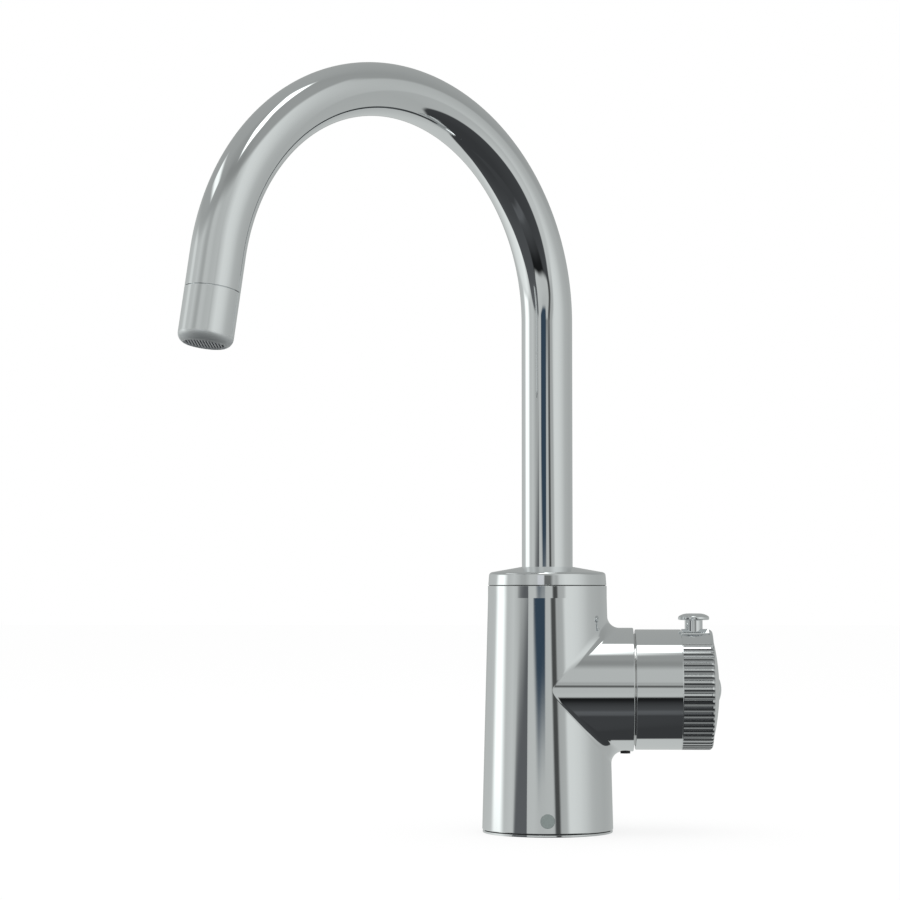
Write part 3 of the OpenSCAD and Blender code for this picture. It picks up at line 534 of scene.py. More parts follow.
def make_nozzle():
    """Sleeve with a wide rounded lip, a recess for the slats and a spigot inside the tube."""
    h, lip, spigot, spigot_low = NOZZLE_LEN - NOZZLE_GAP, TUBE_R - LIP_WALL, 9.7, -6
    drop = math.sqrt(LIP_R ** 2 - (LIP_R - LIP_WALL) ** 2)
    last = pi / 2 - math.asin((LIP_R - LIP_WALL) / LIP_R)
    arc = arc_piece((TUBE_R - LIP_R, h - drop), LIP_R, 0, last, 16)
    pieces = profile([(spigot, 0), (TUBE_R, 0), (TUBE_R, h - drop)], [0, 0.12, 0])
    pieces.append(arc)
    floor, bore = h - 2.8, lip - 1.2
    pieces += profile([tuple(arc[0][-1]), (lip, floor), (bore, floor), (bore, spigot_low),
                       (spigot, spigot_low), (spigot, 0)])
    return make_lathe("nozzle_skin", pieces, AT_ARCH_END @ shift(0, 0, TAIL + NOZZLE_GAP), 160)


# ---------------------------------------------------------------- knob

def pocket():
    """Cutter for the flat across the top of the ring."""
    return block((RING_X - 1, -30, BRANCH_Z + POCKET_Z), (KNOB_END - RING_LIP, 30, BRANCH_Z + 40))


def bush_hole():
    return rod(BUSH_HOLE_R, 0, 30, 96).place(shift(BUTTON_X, 0, BRANCH_Z))


def make_sleeve():
    length, mouth, depth = RING_X - SLEEVE_X, 24.35, 1.85
    points = [(mouth, 0), (KNOB_R, 0), (KNOB_R, length), (KNOB_BORE_R, length), (KNOB_BORE_R, depth),
              (mouth, depth), (mouth, 0)]
    return make_lathe("knob_sleeve_skin", profile(points, [0, 0.3, 0.12, 0, 0, 0, 0]), along_x(SLEEVE_X))


# a round cutter, centred CUTTER_OUT outside, makes the grooves; PLAIN degrees to each side of the top have none
RIBS, CUTTER_R, CUTTER_OUT, PLAIN = 60, 0.95, 0.3, 41.0
RIB_START, GRIP_ROUND = 0.3, 1.8


def rib_section():
    """Outline of the grip ring round its axis, as pairs of point and outward normal."""
    pitch = 360 / RIBS
    centre_r = KNOB_R + CUTTER_OUT
    round_r = 0.13
    # the groove's arc meets the land's arc through a small round
    reach = CUTTER_R + round_r
    inner = KNOB_R - round_r
    half = math.degrees(math.acos((centre_r ** 2 + inner ** 2 - reach ** 2) / (2 * centre_r * inner)))
    groove = []
    ball = np.array([inner * math.cos(math.radians(half)), inner * math.sin(math.radians(half))])
    to_axis = unit(np.array([centre_r, 0.0]) - ball)
    a_groove = math.degrees(math.atan2(to_axis[1], to_axis[0]))
    for i in range(5):
        b = math.radians(half + (a_groove - half) * i / 4)
        u = np.array([math.cos(b), math.sin(b)])
        groove.append((ball + round_r * u, u))
    touch = ball + round_r * to_axis
    start = math.atan2(touch[1], touch[0] - centre_r)
    for i in range(1, 9):
        b = start + (pi - start) * i / 8
        u = np.array([math.cos(b), math.sin(b)])
        groove.append((np.array([centre_r, 0]) + CUTTER_R * u, -u))
    section = []

    def land(a0, a1):
        n = max(2, int(abs(a1 - a0) / 1.5) + 1)
        for i in range(1, n):
            a = math.radians(a0 + (a1 - a0) * i / n)
            u = np.array([math.cos(a), math.sin(a)])
            section.append((KNOB_R * u, u))

    def turned(p, u, a, mirror=1):
        ca, sa = math.cos(math.radians(a)), math.sin(math.radians(a))
        return (np.array([p[0] * ca - mirror * p[1] * sa, p[0] * sa + mirror * p[1] * ca]),
                np.array([u[0] * ca - mirror * u[1] * sa, u[0] * sa + mirror * u[1] * ca]))

    places = [k * pitch for k in range(1, RIBS) if PLAIN < k * pitch < 360 - PLAIN]
    last = places[-1] - 360 + half
    for a in places:
        land(last, a - half)
        section += [turned(p, u, a, -1) for p, u in groove]
        section += [turned(p, u, a) for p, u in groove[:-1][::-1]]
        last = a + half
    return section


def make_grip_ring():
    """Ribbed ring: the grooves run out over the rounded outer corner."""
    section = rib_section()
    radius = np.array([np.linalg.norm(p) for p, _ in section])
    angle = np.array([math.atan2(p[1], p[0]) for p, _ in section])
    flat = np.array([[u[0], u[1], 0] for _, u in section])
    radial = np.stack([np.cos(angle), np.sin(angle), np.zeros(len(angle))], 1)
    length = KNOB_END - RING_X
    skin = Skin()
    bevel, r, last, count = 0.1, GRIP_ROUND, 62, 12
    # stations along the axis: distance, largest radius there and lean of the normal in degrees
    stops = [(0.0, KNOB_R - bevel, 45), (bevel, KNOB_R, 0), (RIB_START, KNOB_R, 0)]
    outer = [(RIB_START, KNOB_R, 0), (length - r, KNOB_R, 0)]
    for i in range(1, count + 1):
        lean = last * i / count
        b = math.radians(lean)
        outer.append((length - r + r * math.sin(b), KNOB_R - r + r * math.cos(b), lean))

    def rows(stations, ribbed):
        pts, nrm = [], []
        for x, limit, tilt in stations:
            rad = np.minimum(radius, limit) if ribbed else np.full(len(radius), limit)
            smooth = radial * math.cos(math.radians(tilt)) + [0, 0, math.sin(math.radians(tilt))]
            inside = (radius < limit - 1e-9) if ribbed else np.zeros(len(radius), bool)
            pts.append(radial * rad[:, None] + [0, 0, x])
            nrm.append(np.where(inside[:, None], flat, smooth))
        return pts, nrm

    pts, nrm = rows(stops, False)
    skin.grid(pts, nrm, wrap=True)
    first, _ = rows(outer[:1], True)
    skin.grid([pts[-1], first[0]], [np.broadcast_to([0, 0, 1.0], pts[-1].shape)] * 2, wrap=True)
    outer_pts, outer_n = rows(outer, True)
    skin.grid(outer_pts, outer_n, wrap=True)
    edge = outer_pts[-1]
    up = np.broadcast_to([0, 0, 1.0], edge.shape)
    seat_r, seat = KNOB_R - r + 0.3, length - 1.3
    top = radial * seat_r + [0, 0, outer[-1][0]]
    skin.grid([edge, top], [up, up], wrap=True)
    low = radial * seat_r + [0, 0, seat]
    skin.grid([top, low], [-radial, -radial], wrap=True)
    inner = radial * KNOB_BORE_R + [0, 0, seat]
    skin.grid([low, inner], [up, up], wrap=True)
    base = radial * KNOB_BORE_R
    skin.grid([inner, base], [-radial, -radial], wrap=True)
    skin.grid([base, pts[0]], [-up, -up], wrap=True)
    skin.place(along_x(RING_X) @ Matrix.Rotation(pi, 4, "Z"))
    obj = add_object("grip_ring_skin", skin.mesh("grip_ring_skin"))
    cut(obj, [pocket(), bush_hole()])
    use_own_normals(obj.data)
    return obj


DOME_EDGE_R, DOME = 24.35, 3.3
DOME_R = (DOME_EDGE_R ** 2 + DOME ** 2) / (2 * DOME)
DOME_TOP = KNOB_END - 0.5 + DOME
CENTRE_R, CENTRE_SEAT = 4.9, DOME_TOP - 1.8


def dome_arc(r0, r1, count):
    """Points of the end cap's sphere from radius r0 to r1, heights from the plane x = 0."""
    pts, nrm = [], []
    for i in range(count + 1):
        r = r0 + (r1 - r0) * i / count
        h = DOME_TOP - DOME_R + math.sqrt(DOME_R ** 2 - r * r)
        pts.append(np.array([r, h]))
        nrm.append(np.array([r, h - DOME_TOP + DOME_R]) / DOME_R)
    return pts, nrm


def make_end_cap():
    seat, back, edge = CENTRE_R + 0.06, KNOB_END - 1.2, 0.2
    arc = dome_arc(DOME_EDGE_R - edge, seat + 0.1, 24)
    outer, inner = arc[0][0], arc[0][-1]
    tilt = math.atan2(arc[1][0][1], arc[1][0][0])
    middle = outer - edge * np.array([math.cos(tilt), math.sin(tilt)])
    rim = arc_piece(middle, edge, 0, tilt, 5)
    pieces = profile([(seat, back), (rim[0][0][0], back), tuple(rim[0][0])])
    pieces += [rim, arc]
    pieces += profile([tuple(inner), (seat, inner[1] - 0.08), (seat, back)])
    return make_lathe("end_cap_skin", pieces, along_x(0))


def make_centre_cap():
    """Small domed cap in the middle of the end cap."""
    edge, rise, seat = 0.2, 1.05, CENTRE_SEAT + 0.05
    crown = (CENTRE_R ** 2 + rise ** 2) / (2 * rise)
    low = DOME_TOP + 1 - crown
    up = math.sqrt((crown - edge) ** 2 - (CENTRE_R - edge) ** 2)
    tilt = math.atan2(up, CENTRE_R - edge)
    pieces = profile([(0, seat), (CENTRE_R, seat), (CENTRE_R, low + up)])
    pieces.append(arc_piece((CENTRE_R - edge, low + up), edge, 0, tilt, 6))
    pieces.append(arc_piece((0, low), crown, tilt, pi / 2, 16))
    return make_lathe("centre_cap_skin", pieces, along_x(0), 128)


def make_button():
    """Head and stem of the lock button, one turned piece."""
    z0, low, thread_r, thread_end = BRANCH_Z + HEAD_Z, BRANCH_Z + 17.5, 1.5, BRANCH_Z + 21.6
    top, r, flat, drop = z0 + HEAD_H, 0.8, 2.5, HEAD_H - 1
    reach = HEAD_R - r - flat
    crown = (reach ** 2 + drop ** 2 - r ** 2) / (2 * (drop - r))
    tilt = math.acos(reach / (crown - r))
    points = [(thread_r, low), (STEM_R, low), (STEM_R, z0), (HEAD_R, z0), (HEAD_R, z0 + 1)]
    pieces = profile(points, [0, 0.2, 0.25, 0.5, 0], 9)
    pieces.append(arc_piece((HEAD_R - r, z0 + 1), r, 0, tilt, 8))
    pieces.append(arc_piece((flat, top - crown), crown, tilt, pi / 2, 12))
    pieces += profile([(flat, top), (0, top)])
    pieces += profile([(0, thread_end), (thread_r, thread_end), (thread_r, low)])
    return make_lathe("button_skin", pieces, shift(BUTTON_X, 0, 0), 128)


def make_guide():
    """Sloped block round the button's stem, with small broken edges."""
    top, wide, foot, foot_h = 2.7, 4.35, 4.0, 0.6
    z0, z1, z2 = BRANCH_Z + POCKET_Z, BRANCH_Z + POCKET_Z + foot_h, BRANCH_Z + GUIDE_TOP
    outline = [(0, z0), (foot, z0), (foot, z1), (wide, z1), (top, z2), (-top, z2), (-wide, z1), (-foot, z1),
               (-foot, z0), (0, z0)]
    lo, hi = RING_X + 0.45, KNOB_END - RING_LIP - 0.1
    skin, loop = Skin(), []
    for points, normals in profile(outline, [0, 0.1, 0.05, 0.08, 0.2, 0.2, 0.08, 0.05, 0.1, 0]):
        turned = [(0, n[0], n[1]) for n in normals]
        skin.grid([[(x, p[0], p[1]) for p in points] for x in (lo, hi)], [turned, turned])
        loop += points[:-1]
    for x, side in ((lo, -1), (hi, 1)):
        skin.cap([(x, p[0], p[1]) for p in loop], (side, 0, 0))
    obj = add_object("guide_skin", skin.mesh("guide_skin"))
    cut(obj, [rod(STEM_HOLE_R, 0, 40, 96).place(shift(BUTTON_X, 0, BRANCH_Z))])
    use_own_normals(obj.data)
    return obj


def make_bush():
    """Ring of the guide below the floor of the pocket."""
    points = [(STEM_HOLE_R, BUSH_LOW), (BUSH_R, BUSH_LOW), (BUSH_R, POCKET_Z), (STEM_HOLE_R, POCKET_Z),
              (STEM_HOLE_R, BUSH_LOW)]
    rounds = [0, 0.2, 0.1, 0, 0]
    return make_lathe("guide_bush_skin", profile(points, rounds), shift(BUTTON_X, 0, BRANCH_Z), 96)


# ---------------------------------------------------------------- materials

def new_material(name):
    material = bpy.data.materials.new(name)
    material.use_nodes = True
    nodes = material.node_tree.nodes
    return material, nodes, material.node_tree.links, nodes["Principled BSDF"]


def noise(nodes, links, scale, detail=3.0, stretch=(1, 1, 1)):
    """Noise in the object's own coordinates, in metres."""
    where = nodes.new("ShaderNodeTexCoord")
    mapping = nodes.new("ShaderNodeMapping")
    mapping.inputs["Scale"].default_value = stretch
    texture = nodes.new("ShaderNodeTexNoise")
    texture.inputs["Scale"].default_value = scale
    texture.inputs["Detail"].default_value = detail
    links.new(where.outputs["Object"], mapping.inputs["Vector"])
    links.new(mapping.outputs["Vector"], texture.inputs["Vector"])
    return texture.outputs["Fac"]


def spread(nodes, links, value, low, high):
    """Maps a noise value to the range from low to high."""
    ramp = nodes.new("ShaderNodeMapRange")
    ramp.inputs["From Min"].default_value = 0.3
    ramp.inputs["From Max"].default_value = 0.7
    ramp.inputs["To Min"].default_value = low
    ramp.inputs["To Max"].default_value = high
    links.new(value, ramp.inputs["Value"])
    return ramp.outputs["Result"]


def bump(nodes, links, bsdf, height, distance, strength=0.3):
    node = nodes.new("ShaderNodeBump")
    node.inputs["Strength"].default_value = strength
    node.inputs["Distance"].default_value = distance
    links.new(height, node.inputs["Height"])
    links.new(node.outputs["Normal"], bsdf.inputs["Normal"])


def metal(name, color, rough, grain=None):
    """Metal whose polish varies a little; grain is the scale, stretch, depth and strength of its marks."""
    material, nodes, links, bsdf = new_material(name)
    bsdf.inputs["Base Color"].default_value = (*color, 1)
    bsdf.inputs["Metallic"].default_value = 1.0
    links.new(spread(nodes, links, noise(nodes, links, 60.0), *rough), bsdf.inputs["Roughness"])
    if grain:
        scale, stretch, depth, strength = grain
        bump(nodes, links, bsdf, noise(nodes, links, scale, 4.0, stretch), depth, strength)
    return material


def plastic(name, color, rough, texture=900.0, depth=0.00003):
    """Moulded plastic: fine texture, and a slow drift between two near colours."""
    material, nodes, links, bsdf = new_material(name)
    mix = nodes.new("ShaderNodeMix")
    mix.data_type = "RGBA"
    other = tuple(min(1.0, c * 1.12 + 0.004) for c in color)
    mix.inputs["A"].default_value = (*color, 1)
    mix.inputs["B"].default_value = (*other, 1)
    links.new(noise(nodes, links, 130.0, 2.0), mix.inputs["Factor"])
    links.new(mix.outputs["Result"], bsdf.inputs["Base Color"])
    links.new(spread(nodes, links, noise(nodes, links, 300.0), *rough), bsdf.inputs["Roughness"])
    bump(nodes, links, bsdf, noise(nodes, links, texture, 4.0), depth)
    return material


CHROME_TONE = (0.86, 0.875, 0.885)
CHROME = metal("polished_chrome", CHROME_TONE, (0.018, 0.04))
GRIP = metal("grip_chrome", (0.84, 0.855, 0.865), (0.03, 0.06))
# the middles of the grooves get a darker chrome: painted shade for the light that the deep grooves hold back
GROOVE_PAINTED_SHADE = metal("groove_chrome_painted_shade", (0.46, 0.47, 0.48), (0.07, 0.10))
LIP = metal("lip_chrome", CHROME_TONE, (0.018, 0.04))
# rough, unpolished metal for the cap's thread; its near-black tone is also painted shade for the joint line and
# the thread's hollows
DULL_AND_PAINTED_SHADE = metal("unpolished_thread_and_painted_shade", (0.10, 0.10, 0.10), (0.5, 0.6))
PLATED = metal("plated_brass", (0.60, 0.60, 0.60), (0.08, 0.14))
MATERIALS = {
    "chrome": CHROME,
    "brass": metal("machined_brass", (0.78, 0.58, 0.26), (0.22, 0.34), (400.0, (1, 1, 12), 0.00004, 0.4)),
    "copper": metal("drawn_copper", (0.80, 0.42, 0.26), (0.2, 0.36), (300.0, (6, 6, 0.5), 0.00003, 0.4)),
    "steel": metal("bright_steel", (0.62, 0.63, 0.65), (0.16, 0.26), (500.0, (1, 1, 10), 0.00003, 0.3)),
    "rubber": plastic("seal_rubber", (0.012, 0.012, 0.013), (0.55, 0.75), 1400.0, 0.00004),
    "plastic": plastic("black_plastic", (0.02, 0.02, 0.022), (0.4, 0.55)),
    "white_plastic": plastic("white_acetal", (0.80, 0.80, 0.77), (0.35, 0.5)),
    "ceramic": plastic("valve_ceramic", (0.86, 0.84, 0.78), (0.08, 0.16), 2400.0, 0.000004),
    "lens": plastic("indicator_lens", (0.205, 0.24, 0.232), (0.28, 0.4), 2000.0, 0.000008),
    "led": plastic("indicator_led", (0.7, 0.08, 0.04), (0.1, 0.2), 2000.0, 0.000005),
    "slats": plastic("straightener_slats", (0.16, 0.17, 0.18), (0.3, 0.45)),
}


def satin_towards_tip(material, axis, start, end, rough):
    """Lets the polish fade to satin between two distances along an axis, in metres."""
    nodes, links = material.node_tree.nodes, material.node_tree.links
    socket = nodes["Principled BSDF"].inputs["Roughness"]
    polish = socket.links[0].from_socket
    where = nodes.new("ShaderNodeTexCoord")
    along = nodes.new("ShaderNodeVectorMath")
    along.operation = "DOT_PRODUCT"
    along.inputs[1].default_value = axis
    links.new(where.outputs["Object"], along.inputs[0])
    fade = nodes.new("ShaderNodeMapRange")
    fade.interpolation_type = "SMOOTHSTEP"
    fade.inputs["From Min"].default_value = start
    fade.inputs["From Max"].default_value = end
    fade.inputs["To Max"].default_value = rough
    links.new(along.outputs["Value"], fade.inputs["Value"])
    total = nodes.new("ShaderNodeMath")
    total.operation = "ADD"
    links.new(polish, total.inputs[0])
    links.new(fade.outputs["Result"], total.inputs[1])
    links.new(total.outputs[0], socket)


SATIN_START, SATIN_FULL, SATIN = 5.0, 1.5, 0.72  # distances from the nozzle's end, and the roughness added
tip_axis = (AT_ARCH_END.to_3x3() @ Vector((0, 0, 1))).normalized()
tip_end = tip_axis.dot(AT_ARCH_END @ Vector((0, 0, TAIL + NOZZLE_LEN))) * MM
satin_towards_tip(LIP, tip_axis, tip_end - SATIN_START * MM, tip_end - SATIN_FULL * MM, SATIN)


def finish_with(obj, material):
    obj.data.materials.clear()
    obj.data.materials.append(material)


slot_of = {entry["node"]: entry["material_slot"] for entry in frame["record"]["subparts"]}
for node_name, node_object in frame["nodes"].items():
    finish_with(node_object, MATERIALS[slot_of[node_name]])
finish_with(frame["nodes"]["valve_carrier"], PLATED)


# ---------------------------------------------------------------- the pieces

def dress(obj, body, node, material=CHROME, other=None, where=None):
    """Gives a piece its material, and the other one to the faces whose centre meets the test."""
    finish_with(obj, material)
    if other:
        obj.data.materials.append(other)
        for face in obj.data.polygons:
            face.material_index = int(where(*(face.center / MM)))
    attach(obj, body)
    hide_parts(node)


def in_joint_line(x, y, z):
    """The cap's skirt and collar, below its side, which take the rough thread's near-black tone with painted
    shade.
    """
    return z < CAP_Z + 0.01 and math.hypot(x, y) < CAP_R - 0.3


def in_groove(x, y, z):
    """Faces of the grip ring within 2 degrees of the middle of a groove, which take the groove's painted shade.
    """
    angle = math.degrees(math.atan2(y, z - BRANCH_Z))
    behind, inside = x < RING_X + RIB_START + 0.01, math.hypot(y, z - BRANCH_Z) < KNOB_R - GRIP_ROUND - 0.1
    if abs(angle) < PLAIN or behind or inside:
        return False
    pitch = 360 / RIBS
    return abs((angle + pitch / 2) % pitch - pitch / 2) < 2.0


dress(make_body(), "body", "body_shell")
dress(make_retaining_cap(), "body", "retaining_cap", CHROME, DULL_AND_PAINTED_SHADE, in_joint_line)
dress(make_base_ring(), "body", "base_ring")
dress(make_sleeve(), "knob", "knob_sleeve")
dress(make_grip_ring(), "knob", "grip_ring", GRIP, GROOVE_PAINTED_SHADE, in_groove)
dress(make_end_cap(), "knob", "end_cap")
dress(make_centre_cap(), "knob", "centre_cap")
dress(make_guide(), "knob", "button_guide")
dress(make_bush(), "knob", "button_guide")
dress(make_button(), "lock", "lock_button")
dress(make_spout(), "spout", "spout_tube")
dress(make_nozzle(), "spout", "nozzle_sleeve", LIP)

# the spring in the knob gets a mesh of its own
spring = frame["nodes"]["lock_spring"]
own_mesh(spring)


# ---------------------------------------------------------------- studio

def lin(value):
    """Display grey, 0 to 255, as light."""
    v = np.asarray(value, float) / 255
    return np.where(v <= 0.04045, v / 12.92, ((v + 0.055) / 1.055) ** 2.4)


def soft(x, lo, hi, blur):
    """1 between lo and hi, fading out over blur on both sides."""
    def step(t):
        t = np.clip(t, 0, 1)
        return t * t * (3 - 2 * t)
    return step((x - lo) / blur + 0.5) * step((hi - x) / blur + 0.5)


def ramp(x, stops):
    """Straight lines between stops of (place, value)."""
    return np.interp(x, [s[0] for s in stops], [s[1] for s in stops])


POLISH = 0.87  # share of the light that the chrome gives back
PALE, COOL, BLUE = np.array([0.962, 1.0, 0.982]), np.array([0.975, 1, 1.045]), np.array([0.59, 1.0, 1.5])
DARK = np.array([0.946, 1, 1.05])
NO_END = 400  # degrees beyond any edge of the studio


def studio_light(direction):
    """Colour of the studio as the metal sees it: walls, ceiling, softboxes, dark flags and floor.
    Azimuth runs from the front (0) to the right (+), elevation from the horizon up."""
    x, y, z = direction.T
    az = np.degrees(np.arctan2(x, -y))
    el = np.degrees(np.arcsin(np.clip(z, -1, 1)))
    # pitch is the angle over the top, from the front; side is the lean to the right of it
    pitch, side = np.degrees(np.arctan2(z, -y)), np.degrees(np.arctan2(x, z))
    # walls up to a top edge, and the ceiling above it
    walls = ramp(az, [(-180, 160), (-150, 178), (-130, 180), (-118, 187), (-80, 182), (-68, 189),
                      (-60, 178), (-52, 162), (-44, 160), (-34, 182), (-24, 183), (-12, 175), (0, 177),
                      (8, 179), (20, 160), (30, 168), (60, 190), (80, 180), (95, 171), (120, 165),
                      (150, 168), (180, 160)])
    ceiling = ramp(az, [(-180, 157), (-90, 155), (-60, 147), (-30, 143), (0, 144), (20, 148), (60, 150),
                        (100, 147), (130, 153), (180, 157)])
    top = ramp(az, [(-180, 8), (-150, 16), (-90, 24), (-60, 34), (-30, 42), (30, 45), (60, 47), (75, 44),
                    (90, 33), (105, 20), (150, 12), (180, 8)])
    ceiling = ceiling - 9 * soft(el, 48, 57, 8) * soft(az, -50, 10, 20)
    share = soft(el - top, 0, NO_END, 12)
    color = lin(walls * (1 - share) + ceiling * share)[:, None] * PALE

    def put(level, mask, tint=PALE):
        nonlocal color
        light = np.atleast_1d(level)[:, None] * tint
        color = color * (1 - mask[:, None]) + light * mask[:, None]

    # pale wall on the right, whose near edge leans
    edge = ramp(el, [(-20, 50), (-6, 43), (-2, 37), (0, 34.5), (2, 32), (5, 26), (12, 16), (24, 10)])
    wall = ramp(az, [(0, 172), (16, 184), (28, 200), (36, 208), (48, 207), (60, 202), (72, 192), (90, 172)])
    put(lin(wall), soft(az - edge, 0, NO_END, 8) * soft(el, -12, 46, 8) * soft(az, -90, 86, 8))
    # softboxes: tall on the left with its glow, slim over the left, slim overhead
    put(lin(206), soft(az, -112, -94, 10) * soft(el, 12, 22, 5))
    put(1.06, soft(az, -114.5, -89, 14) * soft(el, -4.5, 13, 5))
    put(1.0, soft(side, -51.5, -43.5, 5) * soft(pitch, 76.5, 115, 6) * (z > 0))
    centre = ramp(pitch, [(64, -6), (76, -5), (82, -1), (88, 2), (96, 4)])
    above = soft(pitch - side * 0.7, 69, NO_END, 7) * soft(pitch, 0, 95, 6) * (z > 0)
    put(2.0, soft(side - centre, -6.5, 6.5, 5) * above)
    # pale floor, a little darker on the right
    floor = ramp(az, [(-180, 188), (-145, 190), (-128, 206), (-115, 217), (-100, 223), (-88, 231), (-79, 214),
                      (-70, 178), (-60, 168), (-30, 186), (0, 181), (60, 188), (75, 172), (90, 165),
                      (130, 168), (155, 178), (180, 188)])
    put(lin(floor), soft(el, -NO_END, -5, 6))
    # bar over the front, bluish flag to its left with a pale gap over it, and the slanted stand below
    put(lin(85), soft(el, 5.6, 9.8, 3.6) * soft(az, -6, NO_END, 2) * soft(az, -NO_END, 9, 8))
    put(lin(150), soft(el, 11, 15, 5) * soft(az, -5, 14, 6) * 0.7)
    put(lin(205), soft(el, 8, 14, 3) * soft(az, -19, -6.5, 4), COOL)
    low = ramp(az, [(-28, 3), (-26, 2.1), (-22.5, 1), (-19.5, 0), (-16, -0.5), (-10, 0), (-4, 0.1)])
    put(lin(64), soft(az, -27, -4.2, 3) * soft(el - low, 0, NO_END, 3) * soft(el, -90, 7.6, 2), BLUE)
    stand = ramp(el, [(-10, 21), (-4, 19.5), (-2, 18), (-1, 16.2), (0, 14.6), (1, 12.9), (2, 11.6), (4, 9.6)])
    put(lin(ramp(el, [(1, 70), (3, 74), (5, 90)])), soft(az - stand, -4.4, 4.9, 4) * soft(el, -12, 6.5, 3))
    # dark floor: the elevation of its far edge, its tone, and its darkest strip along the front edge
    far = ramp(az, [(-180, -72), (-165, -69), (-150, -65), (-135, -58), (-120, -46), (-110, -40), (-95, -34),
                    (-85, -27), (-75, -17.5), (-70, -10), (-66, -5.2), (-62, -2.4), (-58, -0.4), (-54, 0.5),
                    (-50, 1.1), (-46, 1.6), (-42, 2.4), (-37.2, 3.3), (-36.2, -15), (-32, -18.7),
                    (-24, -17.3), (-16, -15.2), (-8, -14), (0, -13), (4, -12.2), (8, -10.8), (12, -9.5),
                    (16, -7.5), (20, -5.5), (24, -7.3), (28, -9.3), (36, -13.6), (44, -17.5), (50, -20),
                    (60, -26.5), (75, -33), (90, -41), (105, -54), (120, -62), (150, -68), (165, -74),
                    (180, -72)])
    left = ramp(el, [(-75, 55), (-50, 66), (-40, 72), (-20, 75), (-14, 80), (-5, 90), (3, 88)])
    right = ramp(el, [(-75, 54), (-60, 54), (-45, 58), (-30, 61), (-6, 66)])
    tone = np.where(az < -34, left, right)
    depth = el - far
    strip = ramp(depth, [(-37, 60), (-33, 84), (-28, 88), (-24, 70), (-17, 62), (-11, 50), (-8, 38), (-5, 27),
                         (-2, 24)])
    front = soft(az, -34, 7, 8)
    put(lin(tone * (1 - front) + strip * front), soft(depth, -NO_END, 0, 4), DARK)
    return color / POLISH


def empty_tree(owner):
    """Nodes and links of a material or world, cleared."""
    owner.use_nodes = True
    owner.node_tree.nodes.clear()
    return owner.node_tree.nodes, owner.node_tree.links


def mirror_or_camera(nodes, links):
    """1 for a ray from the camera, straight, mirrored or through glass, and 0 for one that lights."""
    path = nodes.new("ShaderNodeLightPath")
    value = path.outputs["Is Camera Ray"]
    for other in ("Is Glossy Ray", "Is Transmission Ray"):
        either = nodes.new("ShaderNodeMath")
        either.operation = "MAXIMUM"
        links.new(value, either.inputs[0])
        links.new(path.outputs[other], either.inputs[1])
        value = either.outputs[0]
    return value


def make_dome():
    """Far shell round the set that only mirrors see."""
    cols, rows, radius, pole = 540, 300, 40.0, 89.9
    az = np.radians(np.arange(cols) * 360 / cols)
    el = np.radians(-pole + np.arange(rows + 1) * 2 * pole / rows)
    e, a = np.meshgrid(el, az, indexing="ij")
    d = np.stack([np.cos(e) * np.sin(a), -np.cos(e) * np.cos(a), np.sin(e)], -1).reshape(-1, 3)
    index = np.arange((rows + 1) * cols).reshape(rows + 1, cols)
    nxt = np.roll(index, -1, axis=1)
    quads = np.stack([index[:-1], index[1:], nxt[1:], nxt[:-1]], -1).reshape(-1, 4)
    mesh = bpy.data.meshes.new("studio_shell")
    mesh.vertices.add(len(d))
    mesh.vertices.foreach_set("co", (d * radius).reshape(-1))
    mesh.loops.add(quads.size)
    mesh.loops.foreach_set("vertex_index", quads.reshape(-1))
    mesh.polygons.add(len(quads))
    mesh.polygons.foreach_set("loop_start", np.arange(len(quads)) * 4)
    mesh.update(calc_edges=True)
    glow = mesh.attributes.new("glow", "FLOAT_COLOR", "POINT")
    glow.data.foreach_set("color", np.hstack([studio_light(d), np.ones((len(d), 1))]).reshape(-1))
    obj = add_object("studio_shell", mesh)
    material = bpy.data.materials.new("studio_shell")
    nodes, links = empty_tree(material)
    out = nodes.new("ShaderNodeOutputMaterial")
    emission = nodes.new("ShaderNodeEmission")
    level = nodes.new("ShaderNodeAttribute")
    level.attribute_name = "glow"
    links.new(level.outputs["Color"], emission.inputs["Color"])
    links.new(emission.outputs["Emission"], out.inputs["Surface"])
    mesh.materials.append(material)
    obj.visible_camera = False
    obj.visible_diffuse = False
    obj.visible_shadow = False
    obj.visible_volume_scatter = False


def make_floor():
    """White ground that keeps a faint shadow: part of its white is its own light."""
    mesh = bpy.data.meshes.new("floor")
    half = 6.0
    corners = [(-half, -half, 0), (half, -half, 0), (half, half, 0), (-half, half, 0)]
    mesh.from_pydata(corners, [], [(0, 1, 2, 3)])
    obj = add_object("floor", mesh)
    material = bpy.data.materials.new("floor")
    nodes, links = empty_tree(material)
    out = nodes.new("ShaderNodeOutputMaterial")
    diffuse = nodes.new("ShaderNodeBsdfDiffuse")
    diffuse.inputs["Color"].default_value = (0.95, 0.95, 0.95, 1)
    emission = nodes.new("ShaderNodeEmission")
    emission.inputs["Strength"].default_value = 1.0
    share = nodes.new("ShaderNodeMath")
    share.operation = "MULTIPLY"
    share.inputs[1].default_value = 0.8
    mix = nodes.new("ShaderNodeMixShader")
    links.new(mirror_or_camera(nodes, links), share.inputs[0])
    links.new(share.outputs[0], mix.inputs["Fac"])
    links.new(diffuse.outputs[0], mix.inputs[1])
    links.new(emission.outputs[0], mix.inputs[2])
    links.new(mix.outputs[0], out.inputs["Surface"])
    mesh.materials.append(material)
    obj.visible_glossy = False


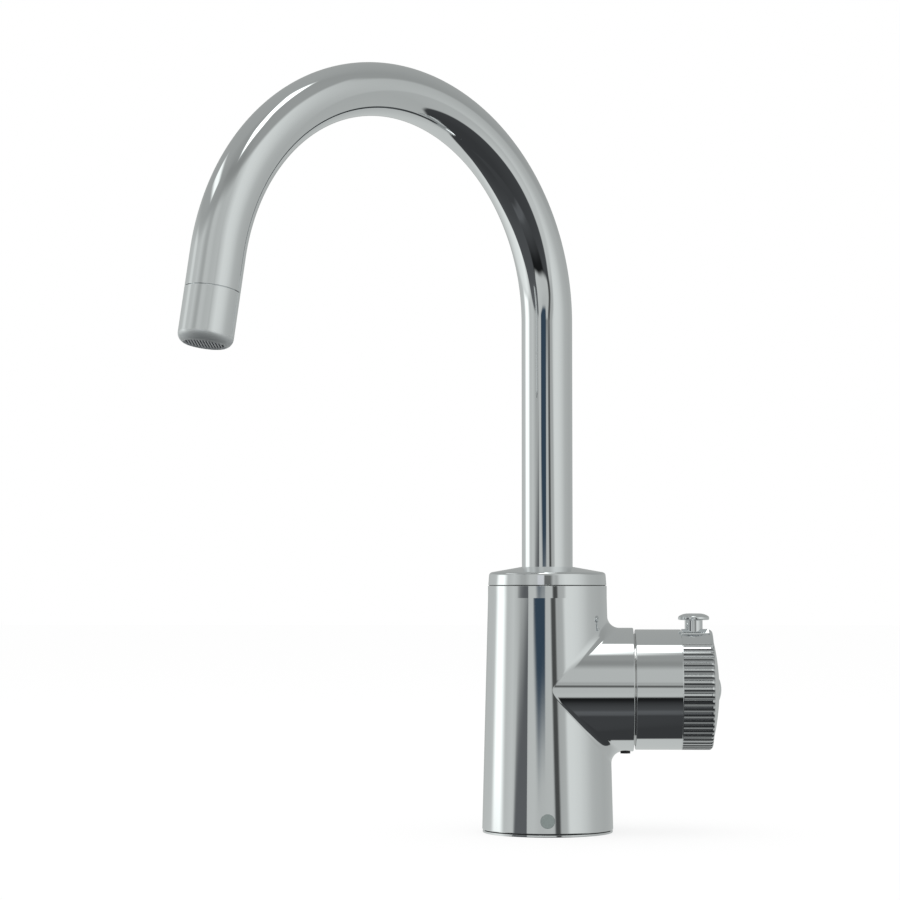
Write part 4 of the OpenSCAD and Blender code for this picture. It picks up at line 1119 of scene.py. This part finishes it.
def make_world():
    """White background, and a white light of its own strength for everything else."""
    world = bpy.data.worlds.new("studio")
    bpy.context.scene.world = world
    nodes, links = empty_tree(world)
    out = nodes.new("ShaderNodeOutputWorld")
    soft_light = nodes.new("ShaderNodeBackground")
    soft_light.inputs["Color"].default_value = (1, 1, 1, 1)
    soft_light.inputs["Strength"].default_value = 1.0
    white = nodes.new("ShaderNodeBackground")
    white.inputs["Color"].default_value = (1, 1, 1, 1)
    white.inputs["Strength"].default_value = 1.0
    mix = nodes.new("ShaderNodeMixShader")
    links.new(mirror_or_camera(nodes, links), mix.inputs["Fac"])
    links.new(soft_light.outputs[0], mix.inputs[1])
    links.new(white.outputs[0], mix.inputs[2])
    links.new(mix.outputs[0], out.inputs["Surface"])


def make_lamp():
    """Large soft lamp overhead, which gives the floor its faint shadow."""
    lamp = bpy.data.lights.new("overhead", "AREA")
    lamp.shape = "RECTANGLE"
    lamp.size, lamp.size_y = 1.6, 1.2
    lamp.energy = 6.0
    obj = add_object("overhead", lamp)
    obj.location = (-0.2, -0.3, 1.8)
    obj.rotation_euler = (Vector((0, 0, 0.1)) - obj.location).to_track_quat("-Z", "Y").to_euler()
    obj.visible_glossy = False
    obj.visible_camera = False


# the camera that fits the photograph: place in metres, and degrees to the left and up
CAMERA_AT, CAMERA_LEFT, CAMERA_UP, LENS = (0, -1.19648, 0.10692), 2.020, 2.782, 110.208


def make_camera():
    data = bpy.data.cameras.new("camera")
    data.sensor_width = 36.0
    data.lens = LENS
    data.clip_start, data.clip_end = 0.05, 200
    obj = add_object("camera", data)
    yaw, pitch = math.radians(CAMERA_LEFT), math.radians(CAMERA_UP)
    forward = Vector((-math.sin(yaw) * math.cos(pitch), math.cos(yaw) * math.cos(pitch), math.sin(pitch)))
    right = Vector((math.cos(yaw), math.sin(yaw), 0))
    up = right.cross(forward)
    turn = Matrix((right, up, -forward)).transposed().to_4x4()
    obj.matrix_world = Matrix.Translation(CAMERA_AT) @ turn
    bpy.context.scene.camera = obj


make_dome()
make_floor()
make_world()
make_lamp()
make_camera()
bpy.context.scene.view_settings.view_transform = "Standard"
